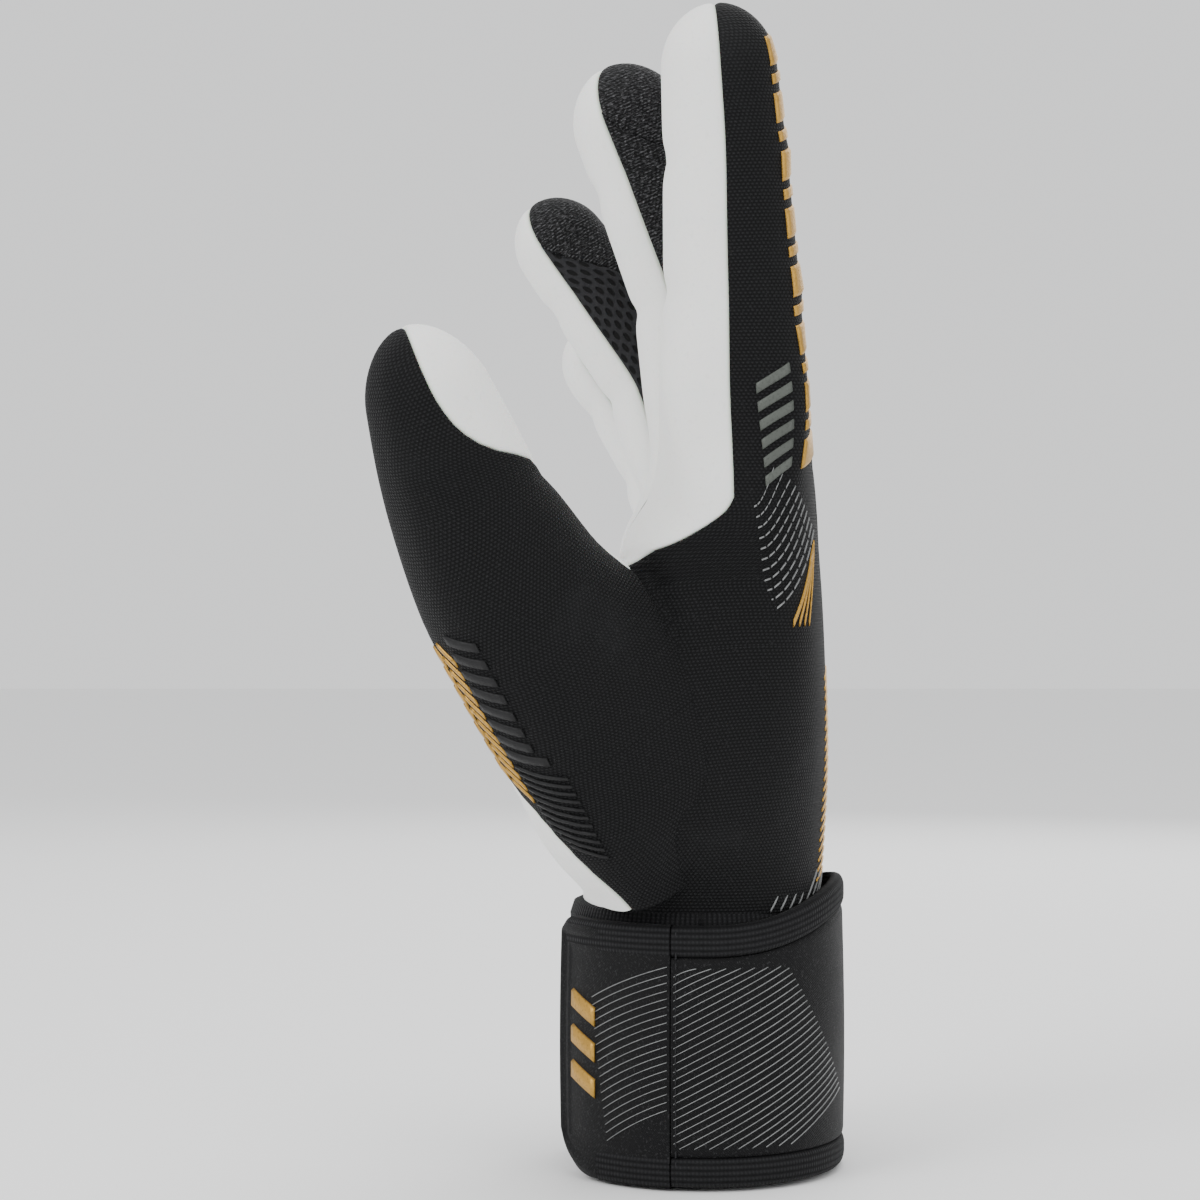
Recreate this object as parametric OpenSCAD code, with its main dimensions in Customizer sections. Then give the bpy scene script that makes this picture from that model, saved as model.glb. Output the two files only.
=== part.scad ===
// Goalkeeper glove for a right hand, worn shape.
// The fingers point along +Z, the palm faces -Y and the thumb is on the +X side.
// The origin is the centre of the mouth that the hand goes in by.

/* [Hand] */
// Width of the hand across the four finger lanes
palm_w = 104; // [88:1:124]
// From the strap's upper edge to the index knuckle
palm_l = 94; // [86:1:112]
// Half the thickness of the hand at the knuckles
knuckle_b = 18.5; // [16:0.5:21]

/* [Fingers] */
// Index finger: knuckle to middle joint, to end joint, to tip
index_bones = [46, 29, 35];
// Middle finger
middle_bones = [47, 30, 26];
// Ring finger
ring_bones = [42, 26, 24];
// Little finger
little_bones = [31, 20, 19];
// Thumb: base to knuckle, to end joint, to tip
thumb_bones = [52, 36, 40];

/* [Cuff] */
// Width of the cuff across the wrist, outside the strap
cuff_w = 80; // [74:1:92]
// Depth of the cuff from palm to back, outside the strap
cuff_d = 67; // [60:1:76]
// Height of the strap on the palm side
cuff_h = 58; // [50:1:68]
// How much higher the strap stands on the back of the wrist
back_rise = 6; // [2:0.5:9]
// Height of the knitted binding along each edge of the strap
binding_h = 7; // [5:0.5:9]
// Height of the hem round the mouth
hem_h = 4; // [3:0.5:6]

/* [Materials] */
// Thickness of the latex foam
latex_t = 3.2; // [2.5:0.1:4]
// Thickness of the knitted back fabric and the side strips
fabric_t = 1.8; // [1.2:0.1:2.4]
// Thickness of the lining
lining_t = 1; // [0.8:0.1:1.4]
// Thickness of the strap
strap_t = 3; // [2:0.1:3.6]
// Thickness of the hook patch and of the loop patch
patch_t = 0.8; // [0.6:0.1:1]
// Height of a raised print
print_t = 0.5; // [0.3:0.1:0.8]

/* [Clearances] */
// Between pieces that are sewn edge to edge
seam_gap = 0.15; // [0.1:0.05:0.3]
// Between one layer and the next
layer_gap = 0.15; // [0.1:0.05:0.3]
// Each side of a bending joint
joint_gap = 0.5; // [0.4:0.1:1]
// Between neighbouring fingers
lane_gap = 0.9; // [0.7:0.1:1.4]

/* [Movement] */
// Full bend of a knuckle, middle joint and end joint, from straight
bend_max = [58, 66, 40];
// Bend of the same joints when the finger is stretched
bend_min = [-8, 0, -6];
// How far the thumb's three joints close from rest
thumb_close = [7, 18, 20];
// How far the thumb's three joints open from rest
thumb_open = [14, 15, 15];
// How far the hand bends each way at the wrist
wrist_bend = 15; // [10:1:18]

/* [Hidden] */
FINGERS = ["index", "middle", "ring", "little"];
PARTS = ["root", "middle", "tip"];
FINGER_NODES = [for (f = FINGERS) each [
    for (p = PARTS) each [str(f, "_", p, "_latex"), str(f, "_", p, "_back")],
    str(f, "_root_gussets"), str(f, "_middle_gussets")
]];

// Sizes that follow from the ones above
lane = palm_w / 4;
root_a = (lane - lane_gap) / 2;
knuckle_z = cuff_h + palm_l;
knuckle_y = 8;
cuff_y = 1.5;
strap_a = cuff_w / 2;
strap_b = cuff_d / 2;
bandage_a = strap_a - strap_t - patch_t * 2 - layer_gap * 2;
bandage_b = strap_b - strap_t - patch_t * 2 - layer_gap * 2;
bandage_t = 2.2;
wrist_z = cuff_h + 4;
seam_angle = -13;
tail_angle = -73;
anchor_angle = 236;
pi = 3.14159265;

// A finger: [lane number, step back in Y, drop below the index knuckle, splay,
//            bones, bend at rest, half widths, half thicknesses at its joints and tip]
ROWS = 5;
function finger(name) =
    name == "index" ? [0, 0, 0, 3, index_bones, [1, 2, 1],
        [root_a, root_a - 0.3, root_a - 0.9, root_a - 1.8], [18, 14.6, 13.2, 12.2]]
    : name == "middle" ? [1, 0.5, -1, 0, middle_bones, [9, 13, 2],
        [root_a, root_a - 0.4, root_a - 1, root_a - 2], [18, 15.5, 13.6, 11.8]]
    : name == "ring" ? [2, -0.5, 8, -3, ring_bones, [23, 13, 0],
        [root_a, root_a - 0.6, root_a - 1.2, root_a - 2.2], [17, 12.5, 11.3, 10]]
    : [3, -3, 17, -7, little_bones, [20, 13, 3],
        [root_a, root_a - 1, root_a - 1.6, root_a - 2.4], [15.5, 11.5, 10, 9.2]];

// ---- small functions ----
function lerp(a, b, t) = a + (b - a) * t;
function clamp(x, lo, hi) = min(max(x, lo), hi);
// A value from a list of [place, value] pairs, straight between them
function along(table, x, i = 0) =
    x <= table[0][0] ? table[0][1]
    : i >= len(table) - 1 ? table[len(table) - 1][1]
    : x <= table[i + 1][0]
        ? lerp(table[i][1], table[i + 1][1], (x - table[i][0]) / (table[i + 1][0] - table[i][0]))
    : along(table, x, i + 1);
function bent(c, n) = sign(c) * pow(abs(c), 2 / n);
// A point at angle t on a rounded outline of half width a and half thickness b
function outline(a, b, n, t) = [a * bent(cos(t), n), b * bent(sin(t), n)];
function unit(v) = v / norm(v);
function flat_list(rows) = [for (r = rows) each r];

// A closed solid between an outer and an inner grid. Rows run along the piece, columns round it.
module shell(outer, inner, closed = false) {
    rows = len(outer);
    cols = len(outer[0]);
    last = closed ? cols - 1 : cols - 2;
    o = function (i, j) i * cols + j % cols;
    q = function (i, j) (rows + i) * cols + j % cols;
    e = rows - 1;
    c = cols - 1;
    skins = [for (i = [0:rows - 2], j = [0:last]) each [
        [o(i, j), o(i + 1, j), o(i + 1, j + 1), o(i, j + 1)],
        [q(i, j), q(i, j + 1), q(i + 1, j + 1), q(i + 1, j)]]];
    ends = [for (j = [0:last]) each [
        [o(0, j), o(0, j + 1), q(0, j + 1), q(0, j)],
        [o(e, j + 1), o(e, j), q(e, j), q(e, j + 1)]]];
    sides = closed ? [] : [for (i = [0:rows - 2]) each [
        [o(i + 1, 0), o(i, 0), q(i, 0), q(i + 1, 0)],
        [o(i, c), o(i + 1, c), q(i + 1, c), q(i, c)]]];
    polyhedron(concat(flat_list(outer), flat_list(inner)), concat(skins, ends, sides));
}

// ---- bending chains: fingers and thumb ----
// A chain part is [start point, side way, back way, length way, bone, widths, thicknesses,
//                  bends at its start, bends at its end or no end joint, roundness of its section]
function tilt(v, splay) = [v[0] * cos(splay) + v[2] * sin(splay), v[1], v[2] * cos(splay) - v[0] * sin(splay)];
function finger_way(splay, bend) = tilt([0, -sin(bend), cos(bend)], splay);
function finger_back(splay, bend) = tilt([0, cos(bend), sin(bend)], splay);
function bend_sum(f, k) = k < 0 ? 0 : f[5][k] + bend_sum(f, k - 1);
function finger_x(f) = palm_w / 2 - lane * (f[0] + 0.5);
function finger_joint(f, k) =
    k == 0 ? [finger_x(f), knuckle_y + f[1], knuckle_z - f[2]]
    : finger_joint(f, k - 1) + f[4][k - 1] * finger_way(f[3], bend_sum(f, k - 1));
// The bends a joint reaches on each side of straight, which its notch has to clear
function travel(k) = [bend_max[k], -bend_min[k]];
function finger_part(f, k) =
    [finger_joint(f, k), tilt([1, 0, 0], f[3]), finger_back(f[3], bend_sum(f, k)),
     finger_way(f[3], bend_sum(f, k)), f[4][k],
     [f[6][k], f[6][k + 1]], [f[7][k], f[7][k + 1]],
     travel(k), k < 2 ? travel(k + 1) : undef, k == 0 ? 3.4 : 2.6, 0];

// The thumb leaves the palm side of the wrist and leans out and forward
thumb_start = [31, -15, cuff_h + 19];
thumb_ways = [unit([0.44, -0.363, 0.822]), unit([0.333, -0.444, 0.832]), unit([0.253, -0.2405, 0.937])];
thumb_pad = unit([-0.45, 0.73, 0.52]);
thumb_a = [15.5, 17, 15.6, 13.5];
thumb_b = [16, 20, 18, 14.5];
// A thumb joint turns a little sideways as well, so its notch is wider by this on each side
thumb_gap = 0.8;
// The thumb is already bent a little at rest, which its notches have to clear as well
function thumb_rest(k) = k == 0 ? 0 : acos(thumb_ways[k] * thumb_ways[k - 1]);
function thumb_travel(k) = [thumb_close[k] + thumb_rest(k) + 4, thumb_open[k] + 4];
function thumb_joint(k) = k == 0 ? thumb_start : thumb_joint(k - 1) + thumb_bones[k - 1] * thumb_ways[k - 1];
function thumb_back(k) = -unit(thumb_pad - thumb_ways[k] * (thumb_pad * thumb_ways[k]));
function thumb_part(k) =
    [thumb_joint(k), unit(cross(thumb_back(k), thumb_ways[k])), thumb_back(k), thumb_ways[k], thumb_bones[k],
     [thumb_a[k], thumb_a[k + 1]], [thumb_b[k], thumb_b[k + 1]],
     thumb_travel(k), k < 2 ? thumb_travel(k + 1) : undef, 2.5, k == 0 ? 0 : thumb_gap];

// The room that a joint's travel needs at a point w behind its axis: a wedge on each side
function wedge(w, moves) = joint_gap + (w < 0 ? -w * tan(moves[0] / 2) : w * tan(moves[1] / 2));
// A point of a chain part at share u of its length and angle t, raised by lift over its surface
function chain_point(p, u, t, lift, dome = 0) =
    let (
        tip = is_undef(p[8]),
        a = lerp(p[5][0], p[5][1], u),
        b = lerp(p[6][0], p[6][1], u),
        body = p[4] - (tip ? p[6][1] : 0),
        low = outline(p[5][0] + lift, p[6][0] + lift, p[9], t),
        high = outline(p[5][1] + lift, p[6][1] + lift, p[9], t),
        s0 = wedge(low[1], p[7]) + p[10],
        s1 = tip ? body : body - wedge(high[1], p[8]) - p[10],
        here = outline((a + lift) * cos(dome), (b + lift) * cos(dome), p[9], t),
        s = dome > 0 ? body + (p[6][1] + lift) * sin(dome) : lerp(s0, s1, u))
    p[0] + here[0] * p[1] + here[1] * p[2] + s * p[3];
function chain_rows(p, u0, u1, t0, t1, lift, steps, domed) =
    let (
        angles = [for (j = [0:steps]) lerp(t0, t1, j / steps)],
        tube = [for (i = [0:ROWS - 1]) [for (t = angles) chain_point(p, lerp(u0, u1, i / (ROWS - 1)), t, lift)]],
        cap = !domed ? [] : [for (d = [20, 40, 60, 78, 90]) [for (t = angles) chain_point(p, 1, t, lift, d)]])
    concat(tube, cap);
// A panel of a chain part between two angles, from lift lo to lift hi
module chain_panel(p, t0, t1, lo, hi, u0 = 0, u1 = 1, domed = false) {
    steps = max(1, round((t1 - t0) / 14));
    shell(chain_rows(p, u0, u1, t0, t1, hi, steps, domed), chain_rows(p, u0, u1, t0, t1, lo, steps, domed));
}

// Angles of the seams round a finger: the latex ends and the back panel ends
function latex_ends(name, k) =
    name == "index" ? [k == 2 ? -192 : -154, 2]
    : k == 2 ? [-168, -12] : [-154, -26];
function back_ends(name, k) =
    name == "index" ? [2, k == 2 ? 168 : 142]
    : k == 2 ? [-12, 192] : [38, 142];
half_seam = 0.6;

module finger_latex(name, k) {
    ends = latex_ends(name, k);
    color("white")
        chain_panel(finger_part(finger(name), k), ends[0] + half_seam, ends[1] - half_seam, -latex_t, 0, domed = k == 2);
}
module finger_back_panel(name, k) {
    ends = back_ends(name, k);
    color([0.09, 0.09, 0.1])
        chain_panel(finger_part(finger(name), k), ends[0] + half_seam, ends[1] - half_seam, -fabric_t, 0, domed = k == 2);
}
module finger_gussets(name, k) {
    p = finger_part(finger(name), k);
    color([0.14, 0.14, 0.15]) {
        chain_panel(p, 142 + half_seam, 206 - half_seam, -fabric_t, 0);
        if (name != "index") chain_panel(p, -26 + half_seam, 38 - half_seam, -fabric_t, 0);
    }
}

// ---- the hand between the wrist and the knuckles ----
function hand_a(z) = along([[cuff_h, 35], [cuff_h + 16, 39], [cuff_h + 34, 44], [knuckle_z - 36, palm_w / 2 - 4],
                            [knuckle_z - 4, palm_w / 2 - 0.5]], z);
function hand_b(z) = along([[cuff_h, 27], [cuff_h + 16, 27], [cuff_h + 34, 25], [knuckle_z - 36, 22],
                            [knuckle_z - 4, knuckle_b]], z);
function hand_y(z) = along([[cuff_h, cuff_y], [cuff_h + 17, cuff_y + 0.5], [cuff_h + 34, 6.5], [knuckle_z - 4, knuckle_y + 1]], z);
function hand_x(z) = along([[cuff_h, 0], [cuff_h + 34, -3], [knuckle_z - 36, -3], [knuckle_z - 4, 0]], z);
function hand_n(z) = along([[cuff_h, 2.2], [knuckle_z, 3.2]], z);
function hand_point(z, t, lift) =
    let (o = outline(hand_a(z) + lift, hand_b(z) + lift, hand_n(z), t))
    [hand_x(z) + o[0], hand_y(z) + o[1], z];
// How far the lower rim of one finger's lane runs on into the next lane
lane_shoulder = 5;
// The height of the knuckle axes over a place across the hand, never above a neighbour's axis
function axis_z(x) = min([for (name = FINGERS)
    let (f = finger(name), dx = x - finger_x(f), edge = lane / 2 + (f[0] == 0 && dx > 0 || f[0] == 3 && dx < 0 ? lane : lane_shoulder))
    if (abs(dx) <= edge) knuckle_z - f[2] - dx * tan(f[3])]);
function rim_z(t, lift) =
    let (o = hand_point(knuckle_z - 8, t, lift), w = o[1] - knuckle_y)
    axis_z(o[0]) - wedge(w, travel(0)) - (abs(w) < 4 ? 2 : 0.5);
function foot_z(t, lift) =
    let (o = hand_point(wrist_z + 4, t, lift))
    wrist_z + joint_gap + 0.3 + abs(o[1] - cuff_y) * tan(wrist_bend);
HAND_ROWS = 9;
function hand_row_point(u, t, lift) =
    let (z = lerp(foot_z(t, lift), rim_z(t, lift), u))
    hand_point(z, t, lift);
// Seam angles on the thumb side, drawn back where the thumb leaves the hand
thumb_window = [[0, 1], [0.66, 1], [0.8, 0], [1, 0]];
function back_start(u) = lerp(2, 12, along(thumb_window, u));
function palm_end(u) = lerp(2, -84, along(thumb_window, u));
ulnar_seam = 200;
// Turns an angle so that even steps of it make even steps along the hand's squared outline, or back again
function eased(t, power) =
    let (c = cos(t), s = sin(t), turned = atan2(sign(s) * pow(abs(s), power), sign(c) * pow(abs(c), power)))
    turned + 360 * round((t - turned) / 360);
EVEN = 1.6;
module hand_sheet(first, last, lo, hi, steps) {
    rows = function (lift) [for (i = [0:HAND_ROWS - 1])
        let (u = i / (HAND_ROWS - 1))
        [for (j = [0:steps])
            let (t = lerp(eased(first(u), 1 / EVEN), eased(last(u), 1 / EVEN), j / steps))
            hand_row_point(u, eased(t, EVEN), lift)]];
    shell(rows(hi), rows(lo));
}
palm_first = function (u) ulnar_seam + 0.3 - 360;
palm_last = function (u) palm_end(u) - 0.3;
back_first = function (u) back_start(u) + 0.3;
back_last = function (u) ulnar_seam - 0.3;

module palm_latex() {
    color("white") hand_sheet(palm_first, palm_last, -latex_t, 0, 30);
}
module palm_lining() {
    color([0.75, 0.75, 0.75])
        hand_sheet(palm_first, palm_last, -latex_t - layer_gap - lining_t, -latex_t - layer_gap, 30);
}
module backhand_panel() {
    color([0.09, 0.09, 0.1]) hand_sheet(back_first, back_last, -fabric_t, 0, 36);
}
// Thin raised stripes across the back of the hand
module backhand_stripes() {
    color([0.85, 0.65, 0.25])
        for (i = [0:3]) {
            u0 = 0.3 + i * 0.13;
            rows = function (lift) [for (v = [0:3]) [for (j = [0:6])
                hand_row_point(u0 + v * 0.025 + j * 0.012, 50 + j * 6, lift)]];
            shell(rows(layer_gap + print_t), rows(layer_gap));
        }
}

// ---- badges on the index finger and the thumb ----
module index_badge(k) {
    p = finger_part(finger("index"), k);
    count = k == 0 ? 3 : 2;
    color([0.85, 0.65, 0.25])
        for (i = [0:count - 1])
            chain_panel(p, 48, 96, layer_gap, layer_gap + print_t, (i + 0.22) / count, (i + 0.78) / count);
}
module thumb_badge() {
    p = thumb_part(0);
    color([0.85, 0.65, 0.25])
        for (i = [0:4])
            chain_panel(p, 96, 120, layer_gap, layer_gap + print_t, 0.3 + i * 0.13, 0.39 + i * 0.13);
}

// ---- thumb ----
thumb_latex_ends = [[-60, 28], [-132, 12], [-192, 12]];
thumb_back_ends = [[28, 235], [12, 228], [12, 168]];
module thumb_latex(k) {
    ends = thumb_latex_ends[k];
    color("white")
        chain_panel(thumb_part(k), ends[0] + half_seam, ends[1] - half_seam, -latex_t, 0, domed = k == 2);
}
module thumb_back_panel(k) {
    ends = thumb_back_ends[k];
    color([0.09, 0.09, 0.1])
        chain_panel(thumb_part(k), ends[0] + half_seam, ends[1] - half_seam, -fabric_t, 0, domed = k == 2);
}

// ---- cuff ----
function top_z(t) = cuff_h + back_rise * pow(max(0, sin(t)), 1.5);
function cuff_point(a, b, t, z) = [a * cos(t), cuff_y + b * sin(t), z];
// A band of the cuff between two angles. Its lower and upper edges are functions of the angle.
module cuff_band(a, b, thick, t0, t1, low, high, closed = false) {
    steps = round((t1 - t0) / 7.5);
    rows = function (lift) [for (v = [0, 1])
        [for (j = [0:closed ? steps - 1 : steps])
            let (t = lerp(t0, t1, j / steps))
            cuff_point(a + lift, b + lift, t, lerp(low(t), high(t), v))]];
    shell(rows(0), rows(-thick), closed);
}
at = function (z) function (t) z;
module cuff_hem() {
    color([0.07, 0.07, 0.07])
        cuff_band(bandage_a, bandage_b, bandage_t + layer_gap + lining_t, 0, 360, at(0), at(hem_h), true);
}
module cuff_lining() {
    color([0.3, 0.3, 0.32])
        cuff_band(bandage_a - bandage_t - layer_gap, bandage_b - bandage_t - layer_gap, lining_t, 0, 360,
            at(hem_h + seam_gap), at(cuff_h - 9), true);
}
// The knitted sleeve: straight in the cuff, then necked in to run up inside the hand
module wrist_bandage() {
    bottom = hem_h + seam_gap;
    top = cuff_h + 15;
    heights = [bottom, cuff_h - 8, cuff_h - 2, cuff_h + 4, top];
    neck = [0, 0, 0.4, 1, 1];
    neck_a = 35 - fabric_t - 0.8;
    neck_b = 27 - latex_t - 1.8 - lining_t;
    rows = function (lift) [for (i = [0:4]) [for (j = [0:47])
        cuff_point(lerp(bandage_a, neck_a, neck[i]) + lift, lerp(bandage_b, neck_b, neck[i]) + lift,
            j * 7.5, heights[i])]];
    color([0.12, 0.12, 0.13]) shell(rows(0), rows(-bandage_t), true);
}
module loop_patch() {
    color([0.2, 0.2, 0.2])
        cuff_band(bandage_a + layer_gap + patch_t, bandage_b + layer_gap + patch_t, patch_t,
            tail_angle + 4, seam_angle - 4, at(binding_h + 2), at(cuff_h - binding_h - 2));
}
module strap_band() {
    color([0.08, 0.08, 0.08])
        cuff_band(strap_a, strap_b, strap_t, seam_angle, anchor_angle,
            at(binding_h + seam_gap), function (t) top_z(t) - binding_h - seam_gap);
}
module strap_top_binding() {
    color([0.12, 0.12, 0.12])
        cuff_band(strap_a, strap_b, strap_t, seam_angle, anchor_angle,
            function (t) top_z(t) - binding_h, top_z_of);
}
top_z_of = function (t) top_z(t);
module strap_bottom_binding() {
    color([0.12, 0.12, 0.12])
        cuff_band(strap_a, strap_b, strap_t, seam_angle, anchor_angle, at(0.5), at(binding_h));
}

// The tail: its end has a small round corner above and a large one below
tail_gap = 1.2;
tail_top_r = 4;
tail_bottom_r = 14;
function arc_left(t) = (t - tail_angle) * pi / 180 * (strap_a * pow(sin(t), 2) + strap_b * pow(cos(t), 2) + 2) ;
function corner(d, r) = d >= r ? 0 : r - sqrt(max(0, r * r - (r - d) * (r - d)));
tail_low = function (t) 0.5 + min(corner(arc_left(t), tail_bottom_r), tail_bottom_r - 1);
tail_high = function (t) cuff_h - corner(arc_left(t), tail_top_r);
tail_inset = 6;
module strap_tail() {
    end = tail_angle + tail_inset / strap_b * 180 / pi;
    color([0.08, 0.08, 0.08])
        cuff_band(strap_a, strap_b, strap_t - patch_t, end + 0.3, seam_angle - tail_gap,
            function (t) max(tail_low(t), 0.5) + binding_h, at(cuff_h - binding_h));
}
module strap_tail_binding() {
    end = tail_angle + tail_inset / strap_b * 180 / pi;
    color([0.12, 0.12, 0.12]) {
        cuff_band(strap_a, strap_b, strap_t - patch_t, tail_angle, seam_angle - tail_gap,
            at(cuff_h - binding_h + seam_gap), tail_high);
        cuff_band(strap_a, strap_b, strap_t - patch_t, tail_angle, seam_angle - tail_gap,
            tail_low, function (t) tail_low(t) + binding_h - seam_gap);
        cuff_band(strap_a, strap_b, strap_t - patch_t, tail_angle, end,
            function (t) tail_low(t) + binding_h, at(cuff_h - binding_h));
    }
}
module hook_patch() {
    color([0.16, 0.16, 0.16])
        cuff_band(strap_a - strap_t + patch_t - layer_gap, strap_b - strap_t + patch_t - layer_gap,
            patch_t - layer_gap, tail_angle + 8, seam_angle - 8, at(binding_h + 8), at(cuff_h - binding_h - 3));
}
module strap_badge() {
    color([0.85, 0.65, 0.25])
        for (i = [0:2])
            cuff_band(strap_a + layer_gap + print_t, strap_b + layer_gap + print_t, print_t,
                tail_angle + 14 + i * 9, tail_angle + 20 + i * 9, at(20 + i * 3), at(38 + i * 3));
}

module show(name) { children(); }
show("cuff_hem") cuff_hem();
show("cuff_lining") cuff_lining();
show("wrist_bandage") wrist_bandage();
show("loop_patch") loop_patch();
show("strap_band") strap_band();
show("strap_top_binding") strap_top_binding();
show("strap_bottom_binding") strap_bottom_binding();
show("strap_tail") strap_tail();
show("strap_tail_binding") strap_tail_binding();
show("hook_patch") hook_patch();
show("strap_badge") strap_badge();
show("palm_latex") palm_latex();
show("backhand_panel") backhand_panel();
show("palm_lining") palm_lining();
show("backhand_stripes") backhand_stripes();
for (k = [0:2]) {
    show(str("index_", PARTS[k], "_badge")) index_badge(k);
    part = ["base", "middle", "tip"][k];
    show(str("thumb_", part, "_latex")) thumb_latex(k);
    show(str("thumb_", part, "_back")) thumb_back_panel(k);
}
show("thumb_badge") thumb_badge();
for (name = FINGERS, k = [0:2]) {
    show(str(name, "_", PARTS[k], "_latex")) finger_latex(name, k);
    show(str(name, "_", PARTS[k], "_back")) finger_back_panel(name, k);
    if (k < 2) show(str(name, "_", PARTS[k], "_gussets")) finger_gussets(name, k);
}
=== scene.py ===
"""A goalkeeper glove for a right hand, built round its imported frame.

The fingers point along +Z, the palm faces -Y and the thumb is on the +X side.
Shapes are worked out in millimetres and placed in metres.
"""

import math

import bpy
import numpy as np
from mathutils import Matrix


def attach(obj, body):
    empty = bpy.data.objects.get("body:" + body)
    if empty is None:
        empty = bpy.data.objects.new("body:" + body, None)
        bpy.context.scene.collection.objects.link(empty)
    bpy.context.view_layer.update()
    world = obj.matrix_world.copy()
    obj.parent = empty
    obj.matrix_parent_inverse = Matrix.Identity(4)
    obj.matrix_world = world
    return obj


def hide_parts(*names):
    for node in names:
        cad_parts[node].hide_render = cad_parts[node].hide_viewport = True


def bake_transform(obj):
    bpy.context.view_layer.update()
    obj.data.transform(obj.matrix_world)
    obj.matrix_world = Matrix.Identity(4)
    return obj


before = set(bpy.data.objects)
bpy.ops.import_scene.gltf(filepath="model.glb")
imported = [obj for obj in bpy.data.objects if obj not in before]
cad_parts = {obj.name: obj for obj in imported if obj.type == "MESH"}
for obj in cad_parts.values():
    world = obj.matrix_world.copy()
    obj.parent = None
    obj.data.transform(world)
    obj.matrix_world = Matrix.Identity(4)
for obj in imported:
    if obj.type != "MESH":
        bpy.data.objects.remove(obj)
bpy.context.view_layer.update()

# ---------------------------------------------------------------------------
# Camera, light and floor. A level view of the thumb side, in soft studio light
# on a pale floor.
# ---------------------------------------------------------------------------
CAMERA_AT = (0.75, -0.0216, 0.1298)
VIEW_WIDTH = 0.2785

lens = bpy.data.cameras.new("side_view")
lens.angle = 2 * math.atan(VIEW_WIDTH / 2 / CAMERA_AT[0])
lens.clip_start = 0.01
camera = bpy.data.objects.new("side_view", lens)
camera.matrix_world = Matrix((
    (0, 0, 1, CAMERA_AT[0]),
    (1, 0, 0, CAMERA_AT[1]),
    (0, 1, 0, CAMERA_AT[2]),
    (0, 0, 0, 1),
))
bpy.context.scene.collection.objects.link(camera)
bpy.context.scene.camera = camera

world = bpy.data.worlds.new("studio")
world.use_nodes = True
world.node_tree.nodes["Background"].inputs["Color"].default_value = (0.95, 0.955, 0.96, 1)
world.node_tree.nodes["Background"].inputs["Strength"].default_value = 1.15
bpy.context.scene.world = world


def softbox(name, place, target, size, power):
    """A square area light at place, turned to face target."""
    lamp = bpy.data.lights.new(name, "AREA")
    lamp.shape = "SQUARE"
    lamp.size = size
    lamp.energy = power
    holder = bpy.data.objects.new(name, lamp)
    aim = np.array(target, float) - np.array(place, float)
    back = -aim / np.linalg.norm(aim)
    side = np.cross((0, 0, 1), back)
    side /= np.linalg.norm(side)
    up = np.cross(back, side)
    rows = [[side[i], up[i], back[i], place[i]] for i in range(3)] + [[0, 0, 0, 1]]
    holder.matrix_world = Matrix(rows)
    bpy.context.scene.collection.objects.link(holder)


MIDDLE = (0, 0, 0.14)
softbox("key_light", (0.75, -0.75, 0.75), MIDDLE, 0.6, 8)
softbox("fill_light", (0.85, 0.8, 0.35), MIDDLE, 0.8, 3)
softbox("top_light", (0.05, 0.1, 1.15), MIDDLE, 0.6, 4)
softbox("back_light", (-0.9, 0.3, 0.6), MIDDLE, 0.8, 4)

FLOOR_SIDE, FLOOR_Z = 4, -0.0006
floor_mesh = bpy.data.meshes.new("floor")
floor_corners = [(x * FLOOR_SIDE, y * FLOOR_SIDE, FLOOR_Z) for x, y in ((-1, -1), (1, -1), (1, 1), (-1, 1))]
floor_mesh.from_pydata(floor_corners, [], [(0, 1, 2, 3)])
floor = bpy.data.objects.new("floor", floor_mesh)
bpy.context.scene.collection.objects.link(floor)
floor_finish = bpy.data.materials.new("pale_floor")
floor_finish.use_nodes = True
floor_shader = floor_finish.node_tree.nodes["Principled BSDF"]
floor_shader.inputs["Base Color"].default_value = (0.9, 0.9, 0.9, 1)
floor_shader.inputs["Roughness"].default_value = 0.8
floor_mesh.materials.append(floor_finish)

# ---------------------------------------------------------------------------
# Palm. One piece of white latex foam, 3 mm thick, from the wrist to the roots
# of the fingers. It is sewn to the knit back along both sides of the hand, and
# its raw edge shows pale green.
# ---------------------------------------------------------------------------
LATEX_T = 3.2
FINGER_START = 120.0
OUTER_SEAM = 200.0
SEAM_SLACK = 0.15

# The hand's sections: height, centre x and y, half width, half depth behind and in front, roundness
HAND = np.array([
    [48, 0, 1.5, 33.6, 26.0, 26.0, 2.2],
    [62, 0, 1.5, 35.3, 27.6, 27.0, 2.25],
    [75, -1, 2.2, 39, 27.9, 28.0, 2.35],
    [92, -3, 5.0, 44, 25.8, 28.5, 2.6],
    [112, -3, 7.4, 47.5, 22.8, 27.0, 2.9],
    [130, -2, 8.3, 50, 20.9, 25.5, 3.0],
    [143, -0.5, 8.8, 51.5, 19.3, 25.5, 3.1],
    [153, 0, 9, 52, 18.6, 22, 3.2],
    [170, 0, 9, 52, 18.3, 18.3, 3.3],
    [200, 0, 9, 52, 18.3, 18.3, 3.3],
])
# The seam on the thumb side: at each height, its angle round the hand
SEAM_Z = [48, 130, 134.5, 137.5, 140.6, 143, 145.3, 148, 152, 158, 200]
SEAM_ANGLE = [-52, -54, -52, -42, -31, -19, -10.5, -4, -0.8, -0.7, -0.7]


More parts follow.
